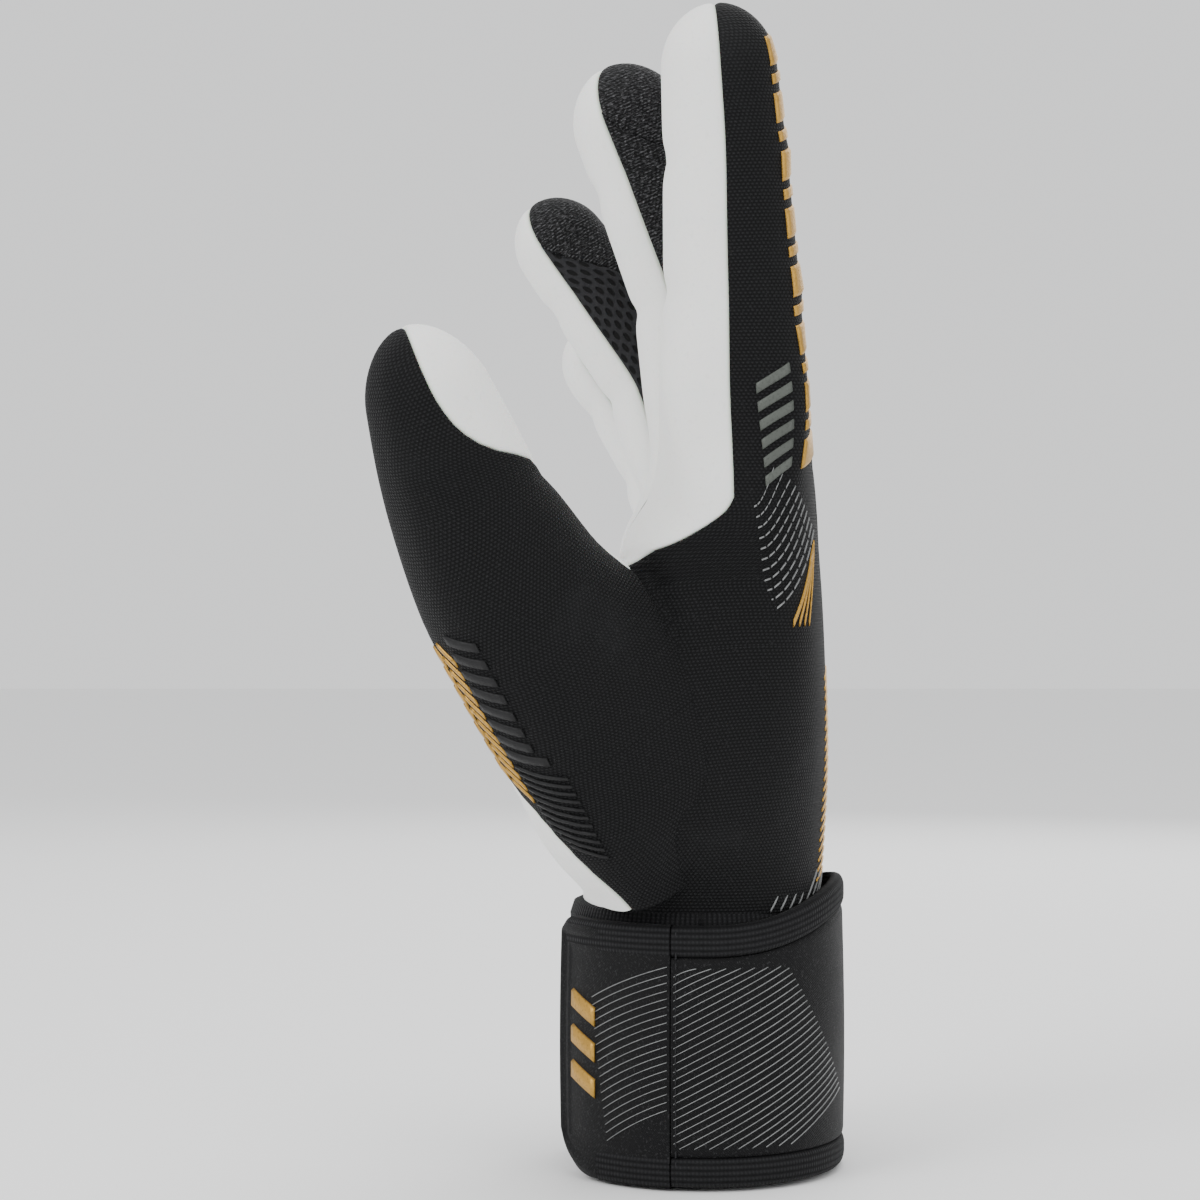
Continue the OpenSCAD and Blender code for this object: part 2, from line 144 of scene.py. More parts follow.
def curve(x, xs, ys):
    """A smooth line through the points (xs, ys): on each stretch a cubic whose end slopes are the mean
    slopes there."""
    x, xs, ys = np.asarray(x, float), np.asarray(xs, float), np.asarray(ys, float)
    slope = np.gradient(ys, xs)
    i = np.clip(np.searchsorted(xs, x) - 1, 0, len(xs) - 2)
    h = xs[i + 1] - xs[i]
    u = np.clip((x - xs[i]) / h, 0, 1)
    return (
        ys[i] * (1 + 2 * u) * (1 - u) ** 2
        + ys[i + 1] * u * u * (3 - 2 * u)
        + h * u * (1 - u) * (slope[i] * (1 - u) - slope[i + 1] * u)
    )


def ramp(x, low, high):
    """From 0 at low to 1 at high, level at both ends: 3 u squared minus 2 u cubed."""
    u = np.clip((x - low) / (high - low), 0, 1)
    return u * u * (3 - 2 * u)


def bent(c, n):
    """The sign of c times its size to the power 2 / n, which squares a round outline off as n grows past
    2."""
    return np.sign(c) * np.abs(c) ** (2 / n)


def rounded(t, n):
    """The point in direction t on a rounded outline one unit wide each way, whose corners square off as n
    grows."""
    c, s = np.cos(np.radians(t)), np.sin(np.radians(t))
    reach = (np.abs(c) ** n + np.abs(s) ** n) ** (-1 / n)
    return c * reach, s * reach


def hand_sizes(z):
    """The hand's section at a height: every column of its table, smoothed between the rows."""
    return [curve(z, HAND[:, 0], HAND[:, k]) for k in range(1, 7)]


def hand_at(z, angle):
    """The hand's surface at a height and an angle: 0 is the thumb side, 90 the back and -90 the palm."""
    cx, cy, a, behind, front, n = hand_sizes(z)
    c, s = np.cos(np.radians(angle)), np.sin(np.radians(angle))
    return np.stack([cx + a * bent(c, n), cy + np.where(s > 0, behind, front) * bent(s, n), z + 0 * c], -1)


def unit(v):
    """Vectors divided by their lengths."""
    return v / np.maximum(np.linalg.norm(v, axis=-1, keepdims=True), 1e-9)


def section_gap(x, y, a, b, n):
    """How far a point is outside a rounded section, measured along the line from its centre."""
    g = np.maximum((np.abs(x / a) ** n + np.abs(y / b) ** n) ** (1 / n), 1e-3)
    return np.hypot(x, y) * (1 - 1 / g)


def hand_gap(p):
    """How far points are outside the hand, by the section at their own height."""
    cx, cy, a, behind, front, n = hand_sizes(np.clip(p[..., 2], 48, 152))
    x, y = p[..., 0] - cx, p[..., 1] - cy
    return section_gap(x, y, a, np.where(y > 0, behind, front), n)


# The thumb's three bones: where each starts, and the way it points
THUMB_POINTS = np.array([
    [31, -15, 77],
    [53.87, -33.86, 119.72],
    [65.86, -49.84, 149.7],
    [75.5, -62.6, 186.8],
])
THUMB_WAYS = unit(np.diff(THUMB_POINTS, axis=0))
THUMB_S = np.concatenate([[0], np.cumsum(np.linalg.norm(np.diff(THUMB_POINTS, axis=0), axis=1))])
THUMB_PAD = unit(np.array([-0.45, 0.73, 0.52]))
THUMB_LINE_S = np.linspace(-16, THUMB_S[3], 240)


def thumb_line():
    """The thumb's centre line and three unit directions along it: onwards, to its back, and across.
    The onward direction turns smoothly from bone to bone, and the line is its running sum."""
    way = THUMB_WAYS[0] + 0 * THUMB_LINE_S[:, None]
    for k in (1, 2):
        share = ramp(THUMB_LINE_S, THUMB_S[k] - 14, THUMB_S[k] + 14)[:, None]
        way = way * (1 - share) + THUMB_WAYS[k] * share
    way = unit(way)
    step = np.diff(THUMB_LINE_S)[:, None] * (way[1:] + way[:-1]) / 2
    line = np.concatenate([[[0, 0, 0]], np.cumsum(step, 0)])
    start = np.array([np.interp(0, THUMB_LINE_S, line[:, i]) for i in range(3)])
    back = -unit(THUMB_PAD - way * (way @ THUMB_PAD)[:, None])
    return line - start + THUMB_POINTS[0], way, back, np.cross(back, way)


THUMB_CENTRE, THUMB_WAY, THUMB_BACK, THUMB_SIDE = thumb_line()
THUMB_BODY = THUMB_S[3] - 15


# The thumb's sections: length along it, half width, half depth
THUMB = np.array([
    [-16, 13, 12],
    [0, 15.3, 15],
    [26, 17, 18.2],
    [52, 17.2, 20.2],
    [70, 16.6, 19.9],
    [88, 15.0, 17.0],
    [104, 13.8, 14.6],
    [118, 12.0, 12.2],
    [130, 10.4, 10.4],
])
THUMB_ROUNDNESS = 2.4


def thumb_sizes(s):
    """The thumb's half width and half depth at a length along it."""
    return curve(s, THUMB[:, 0], THUMB[:, 1]), curve(s, THUMB[:, 0], THUMB[:, 2])


def thumb_gap(p):
    """How far points are outside the thumb, from the nearest place on its centre line."""
    flat = p.reshape(-1, 3)
    use = slice(0, None, 3)
    away = flat[:, None, :] - THUMB_CENTRE[None, use]
    i = np.argmin((away**2).sum(-1), 1)
    d = away[np.arange(len(flat)), i]
    a, b = thumb_sizes(THUMB_LINE_S[use][i])
    x, y = (d * THUMB_SIDE[use][i]).sum(-1), (d * THUMB_BACK[use][i]).sum(-1)
    return section_gap(x, y, a, b, THUMB_ROUNDNESS).reshape(p.shape[:-1])


WEB = 30.0
FOLD = 1.7
WEB_REACH = 11


def webbed(p, normal, own, other):
    """Moves points out along their normals to the smooth union of two shapes: the smaller gap, less a
    rounding that is greatest where the two gaps are equal. Past that line they dive under, and a fold
    runs down it from the crotch."""
    out = np.zeros(p.shape[:-1])
    for _ in range(9):
        q = p + normal * out[..., None]
        g, h = own(q), other(q)
        share = np.clip(0.5 + (h - g) / WEB / 2, 0, 1)
        out = np.clip(out - 0.7 * (g * share + h * (1 - share) - WEB * share * (1 - share)), 0, WEB_REACH)
    q = p + normal * out[..., None]
    apart = own(q) - other(q)
    fold = FOLD * np.exp(-((apart / 3) ** 2)) * ramp(q[..., 2], 108, 128) * (1 - ramp(q[..., 2], 138, 146))
    dive = 0.9 * ramp(apart, 0, 3) + fold
    free = ramp(-own(p), 0.6, 2.5)
    return p + normal * ((out - dive) * (1 - free))[..., None]


def spread(rows, tops):
    """Evenly spaced heights through each stretch between tops, with the given number of rows in each."""
    parts = [np.linspace(tops[i], tops[i + 1], rows[i] + 1)[(i > 0):] for i in range(len(rows))]
    return np.concatenate(parts)


def columns(width, step):
    """Shares of a panel's width for its columns: even, and closer together near its two sewn edges."""
    near = np.array([0, 0.25, 0.6, 1.1, 1.8, 2.7]) / width
    inner = np.linspace(near[-1], 1 - near[-1], max(3, int(width / step)))
    return np.concatenate([near[:-1], inner, (1 - near)[::-1][1:]])


def normals_of(p, outward):
    """Unit normals of a grid: the cross product of its two directions, on the outward hints' side."""
    n = np.cross(np.gradient(p, axis=0), np.gradient(p, axis=1))
    flat = np.linalg.norm(n, axis=-1, keepdims=True) < 1e-7
    n = np.where(flat, outward, unit(n))
    sign = np.sign((n * outward).sum(-1).sum())
    return unit(np.where(flat, n, n * sign))


def quads(rows, cols, start=0, flip=False, wrap=False):
    """Four-sided faces of a grid numbered row by row. With wrap, the last column joins the first."""
    i, j = np.meshgrid(np.arange(rows - 1), np.arange(cols if wrap else cols - 1), indexing="ij")
    k = (j + 1) % cols
    this, after = i * cols, (i + 1) * cols
    faces = np.stack([this + j, this + k, after + k, after + j], -1).reshape(-1, 4) + start
    return faces[:, ::-1] if flip else faces


def slab_faces(outer, normal, start=0):
    """The faces of a slab: the outer grid, the inner grid numbered after it, and a rim that joins their
    borders. The first corner's cross product and its normal say which way round they go."""
    rows, cols = outer.shape[:2]
    size = rows * cols
    index = np.arange(size).reshape(rows, cols) + start
    borders = (
        (index[0, :-1], index[0, 1:]),
        (index[-1, 1:], index[-1, :-1]),
        (index[1:, 0], index[:-1, 0]),
        (index[:-1, -1], index[1:, -1]),
    )
    rim = np.concatenate([np.stack([a, b, b + size, a + size], -1) for a, b in borders])
    flip = (np.cross(outer[0, 1] - outer[0, 0], outer[1, 0] - outer[0, 0]) * normal[0, 0]).sum() < 0
    return np.concatenate([
        quads(rows, cols, start, flip),
        quads(rows, cols, start + size, not flip),
        rim if flip else rim[:, ::-1],
    ])


def place(name, verts, faces, finish, slot, uv=None, normals=None, raw=None):
    """Makes a mesh from points in millimetres. uv is in centimetres on the cloth, one pair to a point,
    and raw is 1 where a point lies on a cut edge or inside."""
    mesh = bpy.data.meshes.new(name)
    mesh.from_pydata((np.asarray(verts) / 1000).tolist(), [], np.asarray(faces).tolist())
    corners = np.empty(len(mesh.loops), np.int32)
    mesh.loops.foreach_get("vertex_index", corners)
    if uv is not None:
        layer = mesh.uv_layers.new(name="cloth")
        layer.data.foreach_set("uv", np.asarray(uv, np.float32)[corners].ravel())
    if raw is not None:
        edge = mesh.attributes.new("edge", "FLOAT", "POINT")
        edge.data.foreach_set("value", np.asarray(raw, np.float32))
    mesh.polygons.foreach_set("use_smooth", np.ones(len(mesh.polygons), bool))
    mesh.materials.append(finish)
    if normals is not None:
        mesh.normals_split_custom_set_from_vertices(np.asarray(normals).tolist())
    piece = bpy.data.objects.new(name, mesh)
    bpy.context.scene.collection.objects.link(piece)
    return piece


RUN_ON = 9.0


def edge_distance(p, r, fade):
    """Each point's distance along its row from the middle of the panel, and from the nearer of the two
    sewn edges. The first and last columns lie outside the panel. Where an edge has no seam, it counts as
    far away."""
    along = np.cumsum(np.linalg.norm(np.diff(p, axis=1), axis=-1), 1)
    along = np.concatenate([np.zeros((len(p), 1)), along], 1)
    left, right = along[:, 1:2], along[:, -2:-1]
    from_left, from_right = np.maximum(along - left, 0), np.maximum(right - along, 0)
    if fade[0]:
        from_left = from_left + RUN_ON * (1 - fade[0](r))
    if fade[1]:
        from_right = from_right + RUN_ON * (1 - fade[1](r))
    return along - (left + right) / 2, np.minimum(from_left, from_right)


def panel(name, surface, rows, left, right, width, thick, finish, slot, lift=0.0, round_over=(2.4, 0.9),
          step=1.5, outward=None, relief=None, fade=(None, None)):
    """A sewn panel. surface(row, angle) gives its points; left(row) and right(row) are the angles of its
    edges. The outer face sinks near each edge by a quarter circle, round_over being its reach and depth,
    and the inner face lies thick below. The grid is made one step too large all round, so that its edges
    get true normals. fade holds a function for each edge, which is 0 on the rows where the cloth runs on
    over it with no seam."""
    rows, share = np.asarray(rows, float), columns(width, step)
    last = rows[-1] if outward else 2 * rows[-1] - rows[-2]
    far = np.concatenate([[2 * rows[0] - rows[1]], rows, [last]])
    wide = np.concatenate([[2 * share[0] - share[1]], share, [2 * share[-1] - share[-2]]])
    r = far[:, None] + 0 * wide
    t = left(far)[:, None] * (1 - wide) + right(far)[:, None] * wide
    p = surface(r, t)
    hint = outward(r, t) if outward else unit(p - p.mean(axis=1, keepdims=True))
    below = normals_of(p, hint)
    across, edge = edge_distance(p, r, fade)
    reach, depth = round_over
    u = np.clip(edge / reach, 0, 1)
    height = lift - depth * (1 - np.sqrt(np.clip(1 - (1 - u) ** 2, 0, 1)))
    if relief:
        height = height + relief(r, t, edge)
    outer = p + below * height[..., None]
    above = normals_of(outer, hint)
    grids = (p, outer, above, below, across, edge)
    p, outer, above, below, across, edge = (grid[1:-1, 1:-1] for grid in grids)
    inner = p + below * (lift - thick)
    travelled = np.cumsum(np.concatenate([[0], np.linalg.norm(np.diff(p.mean(1), axis=0), axis=-1)]))
    down = (rows[0] + travelled if outward else rows)[:, None] + 0 * across
    uv = np.stack([across / 10, down / 10], -1).reshape(-1, 2)
    raw = np.clip(1 - edge / 1.6, 0, 1).reshape(-1)
    return place(
        name,
        np.concatenate([outer.reshape(-1, 3), inner.reshape(-1, 3)]),
        slab_faces(outer, above),
        finish,
        slot,
        uv=np.concatenate([uv, uv]),
        normals=np.concatenate([above.reshape(-1, 3), -below.reshape(-1, 3)]),
        raw=np.concatenate([raw, 1 + 0 * raw]),
    )


class Shades:
    """A material's node tree, with short ways to add nodes to it."""

    def __init__(self, name, roughness, **sockets):
        self.material = bpy.data.materials.new(name)
        self.material.use_nodes = True
        self.tree = self.material.node_tree
        self.shader = self.tree.nodes["Principled BSDF"]
        self.shader.inputs["Roughness"].default_value = roughness
        for key, value in sockets.items():
            self.shader.inputs[key.replace("_", " ")].default_value = value

    def node(self, kind, inputs=(), **settings):
        """A new node: its inputs are linked to sockets or set to values, and its settings are set."""
        made = self.tree.nodes.new(kind)
        for key, value in settings.items():
            setattr(made, key, value)
        for key, value in dict(inputs).items():
            if isinstance(value, bpy.types.NodeSocket):
                self.tree.links.new(value, made.inputs[key])
            else:
                made.inputs[key].default_value = value
        return made

    def math(self, operation, a, b=0.0):
        """The result of a sum on two values."""
        return self.node("ShaderNodeMath", {0: a, 1: b}, operation=operation).outputs[0]

    def cloth(self):
        """The two directions on the cloth, in centimetres."""
        flat = self.node("ShaderNodeUVMap", uv_map="cloth").outputs[0]
        split = self.node("ShaderNodeSeparateXYZ", {0: flat})
        return split.outputs[0], split.outputs[1]

    def place(self):
        """The place on the object, in metres."""
        return self.node("ShaderNodeTexCoord").outputs["Object"]

    def noise(self, scale, detail, rough, at=None):
        """Cloudy noise from 0 to 1, with scale blobs to a metre unless another place is given."""
        inputs = {"Vector": at or self.place(), "Scale": scale, "Detail": detail, "Roughness": rough}
        return self.node("ShaderNodeTexNoise", inputs).outputs[0]

    def wave(self, distance, pitch):
        """A cosine wave of the given pitch, from 0 to 1."""
        turn = self.math("MULTIPLY", distance, 2 * math.pi / pitch)
        return self.math("ADD", self.math("MULTIPLY", self.math("COSINE", turn), 0.5), 0.5)

    def steps(self, value, low, high):
        """From 0 at low to 1 at high, by a smooth step."""
        inputs = {0: value, 1: low, 2: high, 3: 0.0, 4: 1.0}
        return self.node("ShaderNodeMapRange", inputs, interpolation_type="SMOOTHSTEP").outputs[0]

    def mix(self, share, a, b):
        """The colour a share of the way from a to b."""
        made = self.node("ShaderNodeMix", data_type="RGBA")
        for socket, value in ((made.inputs[0], share), (made.inputs[6], a), (made.inputs[7], b)):
            if isinstance(value, bpy.types.NodeSocket):
                self.tree.links.new(value, socket)
            else:
                socket.default_value = (*value, 1) if isinstance(value, tuple) else value
        return made.outputs[2]

    def into(self, key, value):
        """Links a value into one of the shader's sockets."""
        self.tree.links.new(value, self.shader.inputs[key])

    def bump(self, height, distance, strength):
        """Dents the surface by a height from 0 to 1, of the given depth in metres."""
        made = self.node("ShaderNodeBump", {"Height": height, "Distance": distance, "Strength": strength})
        self.into("Normal", made.outputs[0])


def latex_finish():
    """White foam with open pores, soft hollows painted a little darker as painted shade, and the pale
    green of its raw cut edge.
    """
    f = Shades("latex_foam", 0.72, Subsurface_Weight=0.08, Subsurface_Scale=0.004,
               Sheen_Weight=0.15, Sheen_Roughness=0.6)
    pores = f.noise(900, 3, 0.6)
    soft = f.noise(46, 3, 0.5)
    edge = f.node("ShaderNodeAttribute", attribute_name="edge").outputs["Fac"]
    # Painted shade: the foam is painted darker in the hollows of its soft bumps, where the bump map sinks.
    tone = f.mix(soft, (0.80, 0.80, 0.775), (0.87, 0.87, 0.85))
    tone = f.mix(f.math("MULTIPLY", f.steps(pores, 0.56, 0.72), 0.22), tone, (0.62, 0.62, 0.59))
    tone = f.mix(f.math("MULTIPLY", f.steps(edge, 0.35, 1.0), 0.75), tone, (0.66, 0.74, 0.60))
    f.into("Base Color", tone)
    f.into("Roughness", f.math("ADD", f.math("MULTIPLY", pores, 0.2), 0.6))
    f.bump(f.math("ADD", f.math("MULTIPLY", pores, 0.35), f.math("MULTIPLY", soft, 1.6)), 0.00032, 0.75)
    return f.material


LATEX = latex_finish()


def palm_seam(z):
    """The angle of the seam on the thumb side at a height."""
    return curve(z, SEAM_Z, SEAM_ANGLE)


def hand_and_web(z, angle):
    """The hand's surface, drawn out into the web where the thumb joins it."""
    p = hand_at(z, angle)
    n = normals_of(p, unit(p - p.mean(axis=1, keepdims=True)))
    q = webbed(p, n, hand_gap, thumb_gap)
    return p + (q - p) * (ramp(z, 62, 84) * (1 - ramp(z, 138, 152)))[..., None]


def palm_relief(z, angle, edge):
    """Two shallow flex grooves across the palm."""
    x = np.cos(np.radians(angle)) * 46
    deep = np.exp(-((z - 108 - 0.12 * x) / 1.5) ** 2) + 0.7 * np.exp(-((z - 84 - 0.35 * x) / 1.6) ** 2)
    return -0.7 * deep * ramp(edge, 3, 10)


HAND_ROWS = spread([14, 26], [52, 78, FINGER_START])
palm = panel(
    "palm_latex_foam", hand_and_web, HAND_ROWS,
    lambda z: OUTER_SEAM - 360 + SEAM_SLACK + 0 * z, lambda z: palm_seam(z) - SEAM_SLACK,
    100, LATEX_T, LATEX, "latex", relief=palm_relief,
)
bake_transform(palm)
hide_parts("palm_latex")

# ---------------------------------------------------------------------------
# Back of the hand. One panel of black knitted neoprene, cut from the wrist to
# the fingers, with fine rows of stitches that catch the light.
# ---------------------------------------------------------------------------
FABRIC_T = 1.8


def knit_finish(name="black_knit", flecks=0.0):
    """Black knit: rows of small stitches, each row set half a stitch over from the next, painted lighter
    on the stitches as a painted highlight and darker between the rows as painted shade. With flecks, grey
    yarn shows through in short dashes along the rows, past the root of the finger."""
    f = Shades(name, 0.7, Sheen_Weight=0.03, Sheen_Roughness=0.3, Specular_IOR_Level=0.13)
    u, v = f.cloth()
    row = f.math("MODULO", f.math("FLOOR", f.math("DIVIDE", v, 0.075)), 2.0)
    loops = f.wave(f.math("ADD", u, f.math("MULTIPLY", row, 0.05)), 0.1)
    ribs = f.wave(v, 0.075)
    between = f.math("SUBTRACT", 1.0, f.math("POWER", ribs, 2.0))
    knit = f.math("MULTIPLY", f.math("POWER", loops, 0.7), between)
    worn = f.noise(34, 4, 0.6)
    fuzz = f.noise(1300, 2, 0.6)
    # Painted highlight and shade: the stitches are painted lighter where they catch the light, and the gaps
    # between the rows darker.
    tone = f.mix(knit, (0.0014, 0.0014, 0.0016), (0.0125, 0.0127, 0.0135))
    tone = f.mix(f.math("MULTIPLY", f.steps(worn, 0.5, 0.8), 0.35), tone, (0.019, 0.0195, 0.021))
    tone = f.mix(f.math("MULTIPLY", f.steps(fuzz, 0.6, 0.75), 0.25), tone, (0.035, 0.035, 0.037))
    if flecks:
        at = f.node("ShaderNodeCombineXYZ", {0: u, 1: f.math("MULTIPLY", v, 3.0), 2: 0.0}).outputs[0]
        dash = f.steps(f.noise(8.0, 4, 0.8, at), 0.5, 0.62)
        shown = f.math("MULTIPLY", f.math("MULTIPLY", dash, f.steps(v, 0.4, 3.2)), flecks)
        # The grey yarn is real, and it is painted brighter on the stitches as part of their painted
        # highlight.
        shown = f.math("MULTIPLY", shown, f.math("ADD", f.math("MULTIPLY", knit, 0.6), 0.4))
        tone = f.mix(shown, tone, (0.11, 0.11, 0.115))
    f.into("Base Color", tone)
    f.bump(f.math("ADD", knit, f.math("MULTIPLY", worn, 0.8)), 0.00028, 0.85)
    return f.material


KNIT = knit_finish()
BACK_ROUND = (1.8, 0.7)
back = panel(
    "backhand_knit", hand_and_web, HAND_ROWS,
    lambda z: palm_seam(z) + SEAM_SLACK, lambda z: OUTER_SEAM - SEAM_SLACK + 0 * z,
    150, FABRIC_T, KNIT, "knit", round_over=BACK_ROUND,
)
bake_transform(back)
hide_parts("backhand_panel")

# ---------------------------------------------------------------------------
# Fingers. Each is a tube of latex in front and knit behind, with a strip of
# open mesh down each side. The index finger's latex wraps round its thumb side.
# Tubes are cut between the joints, where the bones are stiff, and each finger's line bends at its joints.
# ---------------------------------------------------------------------------
# lane is the finger's share of the hand's width; bones, bends and a and b run from the knuckle to the tip
FINGERS = {
    "index": {
        "lane": (26, 52), "start": (39, 8, 152), "splay": 3, "bones": (46, 29, 33.4), "bends": (1, 2, 1),
        "a": (12.55, 12.6, 12.3, 11.8), "b": (17.6, 15.0, 13.6, 12.0),
    },
    "middle": {
        "lane": (0, 26), "start": (13, 8.5, 153), "splay": 0, "bones": (47, 30, 26), "bends": (9, 13, 2),
        "a": (12.55, 12.4, 12, 11.4), "b": (17.6, 15.6, 14, 12),
    },
    "ring": {
        "lane": (-26, 0), "start": (-13, 7.5, 144), "splay": -3, "bones": (42, 26, 24), "bends": (23, 13, 0),
        "a": (12.55, 12.2, 11.6, 11), "b": (17, 12.8, 11.6, 10.4),
    },
    "little": {
        "lane": (-52, -26), "start": (-39, 5, 135), "splay": -7, "bones": (31, 20, 19), "bends": (20, 13, 3),
        "a": (12.55, 11.8, 11.2, 10.4), "b": (15.5, 11.8, 10.4, 9.6),
    },
}
# Round a finger: latex between the first two angles, then the near strip, the knit and the far strip
FRONT_LOW, FRONT_HIGH, BACK_LOW, BACK_HIGH, FAR_END = -154, -26, 38, 142, 206
FRONT_TURN, NEAR_TURN = FRONT_HIGH - FRONT_LOW, BACK_LOW - FRONT_HIGH
BACK_TURN, FAR_TURN = BACK_HIGH - BACK_LOW, FAR_END - BACK_HIGH
LINE_S = np.linspace(-60, 130, 400)


def lane_angle(z, x):
    """The angle round the hand at which its back stands over a place across it."""
    cx, _, a, _, _, n = hand_sizes(z)
    u = np.clip((x - cx) / a, -0.9999, 0.9999)
    return np.degrees(np.arccos(np.sign(u) * np.abs(u) ** (n / 2)))


def wall_at(z, x, share):
    """The flat wall between two fingers, across the hand at x: straight from its front to its back."""
    front, behind = hand_at(z, -lane_angle(z, x)), hand_at(z, lane_angle(z, x))
    return front * (1 - share[..., None]) + behind * share[..., None]


def pick(mask, yes, no):
    """Points from one grid where the mask is true, and from the other elsewhere."""
    return np.where(mask[..., None], yes, no)


def index_slice(z, t, low):
    """The index finger's slice: its far side is a wall, and the rest runs round the thumb side of the
    hand."""
    edge = lane_angle(z, low)
    front = -edge + (2 + edge) * (t - FRONT_LOW) / 156
    p = hand_at(z, np.where(t < 2, front, 2 + (edge - 2) * (t - 2) / 140))
    return pick(t > BACK_HIGH, wall_at(z, low, (FAR_END - t) / FAR_TURN), p)


def little_slice(z, t, high):
    """The little finger's slice: its near side is a wall, and the rest runs round the outer side of the
    hand."""
    edge = lane_angle(z, high)
    back = edge + (165 - edge) * (t - BACK_LOW) / BACK_TURN
    around = np.where(t > BACK_HIGH, 165 + 35 * (t - BACK_HIGH) / FAR_TURN, back)
    around = np.where(t < FRONT_HIGH, -160 + (160 - edge) * (t - FRONT_LOW) / FRONT_TURN, around)
    is_wall = (t >= FRONT_HIGH) & (t < BACK_LOW)
    return pick(is_wall, wall_at(z, high, (t - FRONT_HIGH) / NEAR_TURN), hand_at(z, around))


def slice_at(name, z, t):
    """A finger's slice of the hand: its back and front lie on the hand, and its walls between fingers are
    flat."""
    low, high = FINGERS[name]["lane"]
    t = np.mod(t - FRONT_LOW, 360) + FRONT_LOW
    if name == "index":
        return index_slice(z, t, low)
    if name == "little":
        return little_slice(z, t, high)

    def across(share, side):
        return hand_at(z, side * lane_angle(z, high * (1 - share) + low * share))

    back, front = across((t - BACK_LOW) / BACK_TURN, 1), across((FRONT_HIGH - t) / FRONT_TURN, -1)
    far_wall = wall_at(z, low, (FAR_END - t) / FAR_TURN)
    near_wall = wall_at(z, high, (t - FRONT_HIGH) / NEAR_TURN)
    p = pick(t > BACK_HIGH, far_wall, back)
    p = pick(t < FRONT_HIGH, front, p)
    return pick((t >= FRONT_HIGH) & (t < BACK_LOW), near_wall, p)


def finger_shape(name):
    """A finger's centre line, its unit directions onwards, back and across, and where its joints and
    round tip are. The bend grows smoothly at each joint, and the line is the running sum of the direction
    that it gives."""
    f = FINGERS[name]
    stops = np.concatenate([[0], np.cumsum(f["bones"])])
    bend = sum(f["bends"][k] * ramp(LINE_S, stops[k] - 9, stops[k] + 9) for k in range(3))
    step = np.diff(LINE_S)
    mid = np.radians((bend[1:] + bend[:-1]) / 2)
    y = np.concatenate([[0], np.cumsum(-np.sin(mid) * step)])
    z = np.concatenate([[0], np.cumsum(np.cos(mid) * step)])
    y, z = y - np.interp(0, LINE_S, y), z - np.interp(0, LINE_S, z)
    splay = math.radians(f["splay"])
    x0, y0, z0 = f["start"]
    along, back = np.cos(np.radians(bend)), np.sin(np.radians(bend))
    lean, rise = math.sin(splay), math.cos(splay)
    cap = f["b"][3] * 1.12
    return {
        "centre": np.stack([x0 + z * lean, y0 + y, z0 + z * rise], -1),
        "way": np.stack([along * lean, -back, along * rise], -1),
        "behind": np.stack([back * lean, along, back * rise], -1),
        "side": np.array([rise, 0, -lean]),
        "stops": stops,
        "body": stops[3] - cap,
        "cap": cap,
    }


SHAPES = {name: finger_shape(name) for name in FINGERS}


def on_line(s, values):
    """Points or directions of a finger's line at a length along it."""
    return np.stack([np.interp(s, LINE_S, values[:, i]) for i in range(3)], -1)


def finger_at(name, s, t):
    """A finger's surface at a length from its knuckle and an angle: 0 is the thumb side, 90 its back, -90
    its front. It is creased in front of each joint, domed at the tip, and turns into a slice of the hand
    below the knuckle."""
    f, g = FINGERS[name], SHAPES[name]
    knots = [-60, 0, *g["stops"][1:3], g["stops"][3]]
    a = curve(s, knots, [f["a"][0], *f["a"]])
    b = curve(s, knots, [f["b"][0], *f["b"]])
    n = 2.35 + 2.6 * (1 - ramp(s, 8, 44))
    c, w = np.cos(np.radians(t)), np.sin(np.radians(t))
    for k in (1, 2):
        crease = np.exp(-(((s - g["stops"][k]) / 3.2) ** 2))
        b = b - 0.9 * crease * np.clip(-w, 0, 1) ** 2 + 0.5 * crease * np.clip(w, 0, 1)
    dome = np.sqrt(np.clip(1 - (np.clip(s - g["body"], 0, None) / g["cap"]) ** 2, 0, 1))
    here = np.clip(s, None, g["stops"][3])
    x, y = rounded(t, n)
    p = (on_line(here, g["centre"]) + (a * dome * x)[..., None] * g["side"]
         + (b * dome * y)[..., None] * on_line(here, g["behind"]))
    share = ramp(s, -8, 28)[..., None]
    z = f["start"][2] + np.minimum(s, 60)
    return slice_at(name, z, t) * (1 - share) + p * share if s.min() < 28 else p


def finger_and_web(name):
    """A finger's surface as a function, drawn out into the thumb's web on the two fingers that it
    reaches."""
    def surface(s, t):
        p = finger_at(name, s, t)
        if name not in ("index", "middle") or s.min() > 5:
            return p
        q = webbed(p, normals_of(p, unit(p - p.mean(axis=1, keepdims=True))), hand_gap, thumb_gap)
        return p + (q - p) * (1 - ramp(p[..., 2], 138, 152))[..., None]
    return surface


def finger_outward(name):
    """A function for the way out of a finger: across its line, and along it at the tip."""
    def outward(s, t):
        g = SHAPES[name]
        here = np.clip(s, None, g["stops"][3])
        c, w = np.cos(np.radians(t)), np.sin(np.radians(t))
        tip = ramp(s, g["body"], g["stops"][3] - 0.01)[..., None]
        ring = c[..., None] * g["side"] + w[..., None] * on_line(here, g["behind"])
        return unit(ring * (1 - tip) + on_line(here, g["way"]) * (tip + 1e-6))
    return outward


def tip_rows(s0, body, cap, end):
    """Rows along a piece that ends in a round tip: even, then by equal turns over the dome."""
    turn = np.radians(np.array([0, 7, 14, 21, 28, 35, 42, 49, 56, 63, 70, 76, 82, 87, 90]))
    dome = body + cap * np.sin(turn)
    dome[-1] = end
    return np.concatenate([np.linspace(s0, body, 16)[:-1], dome])


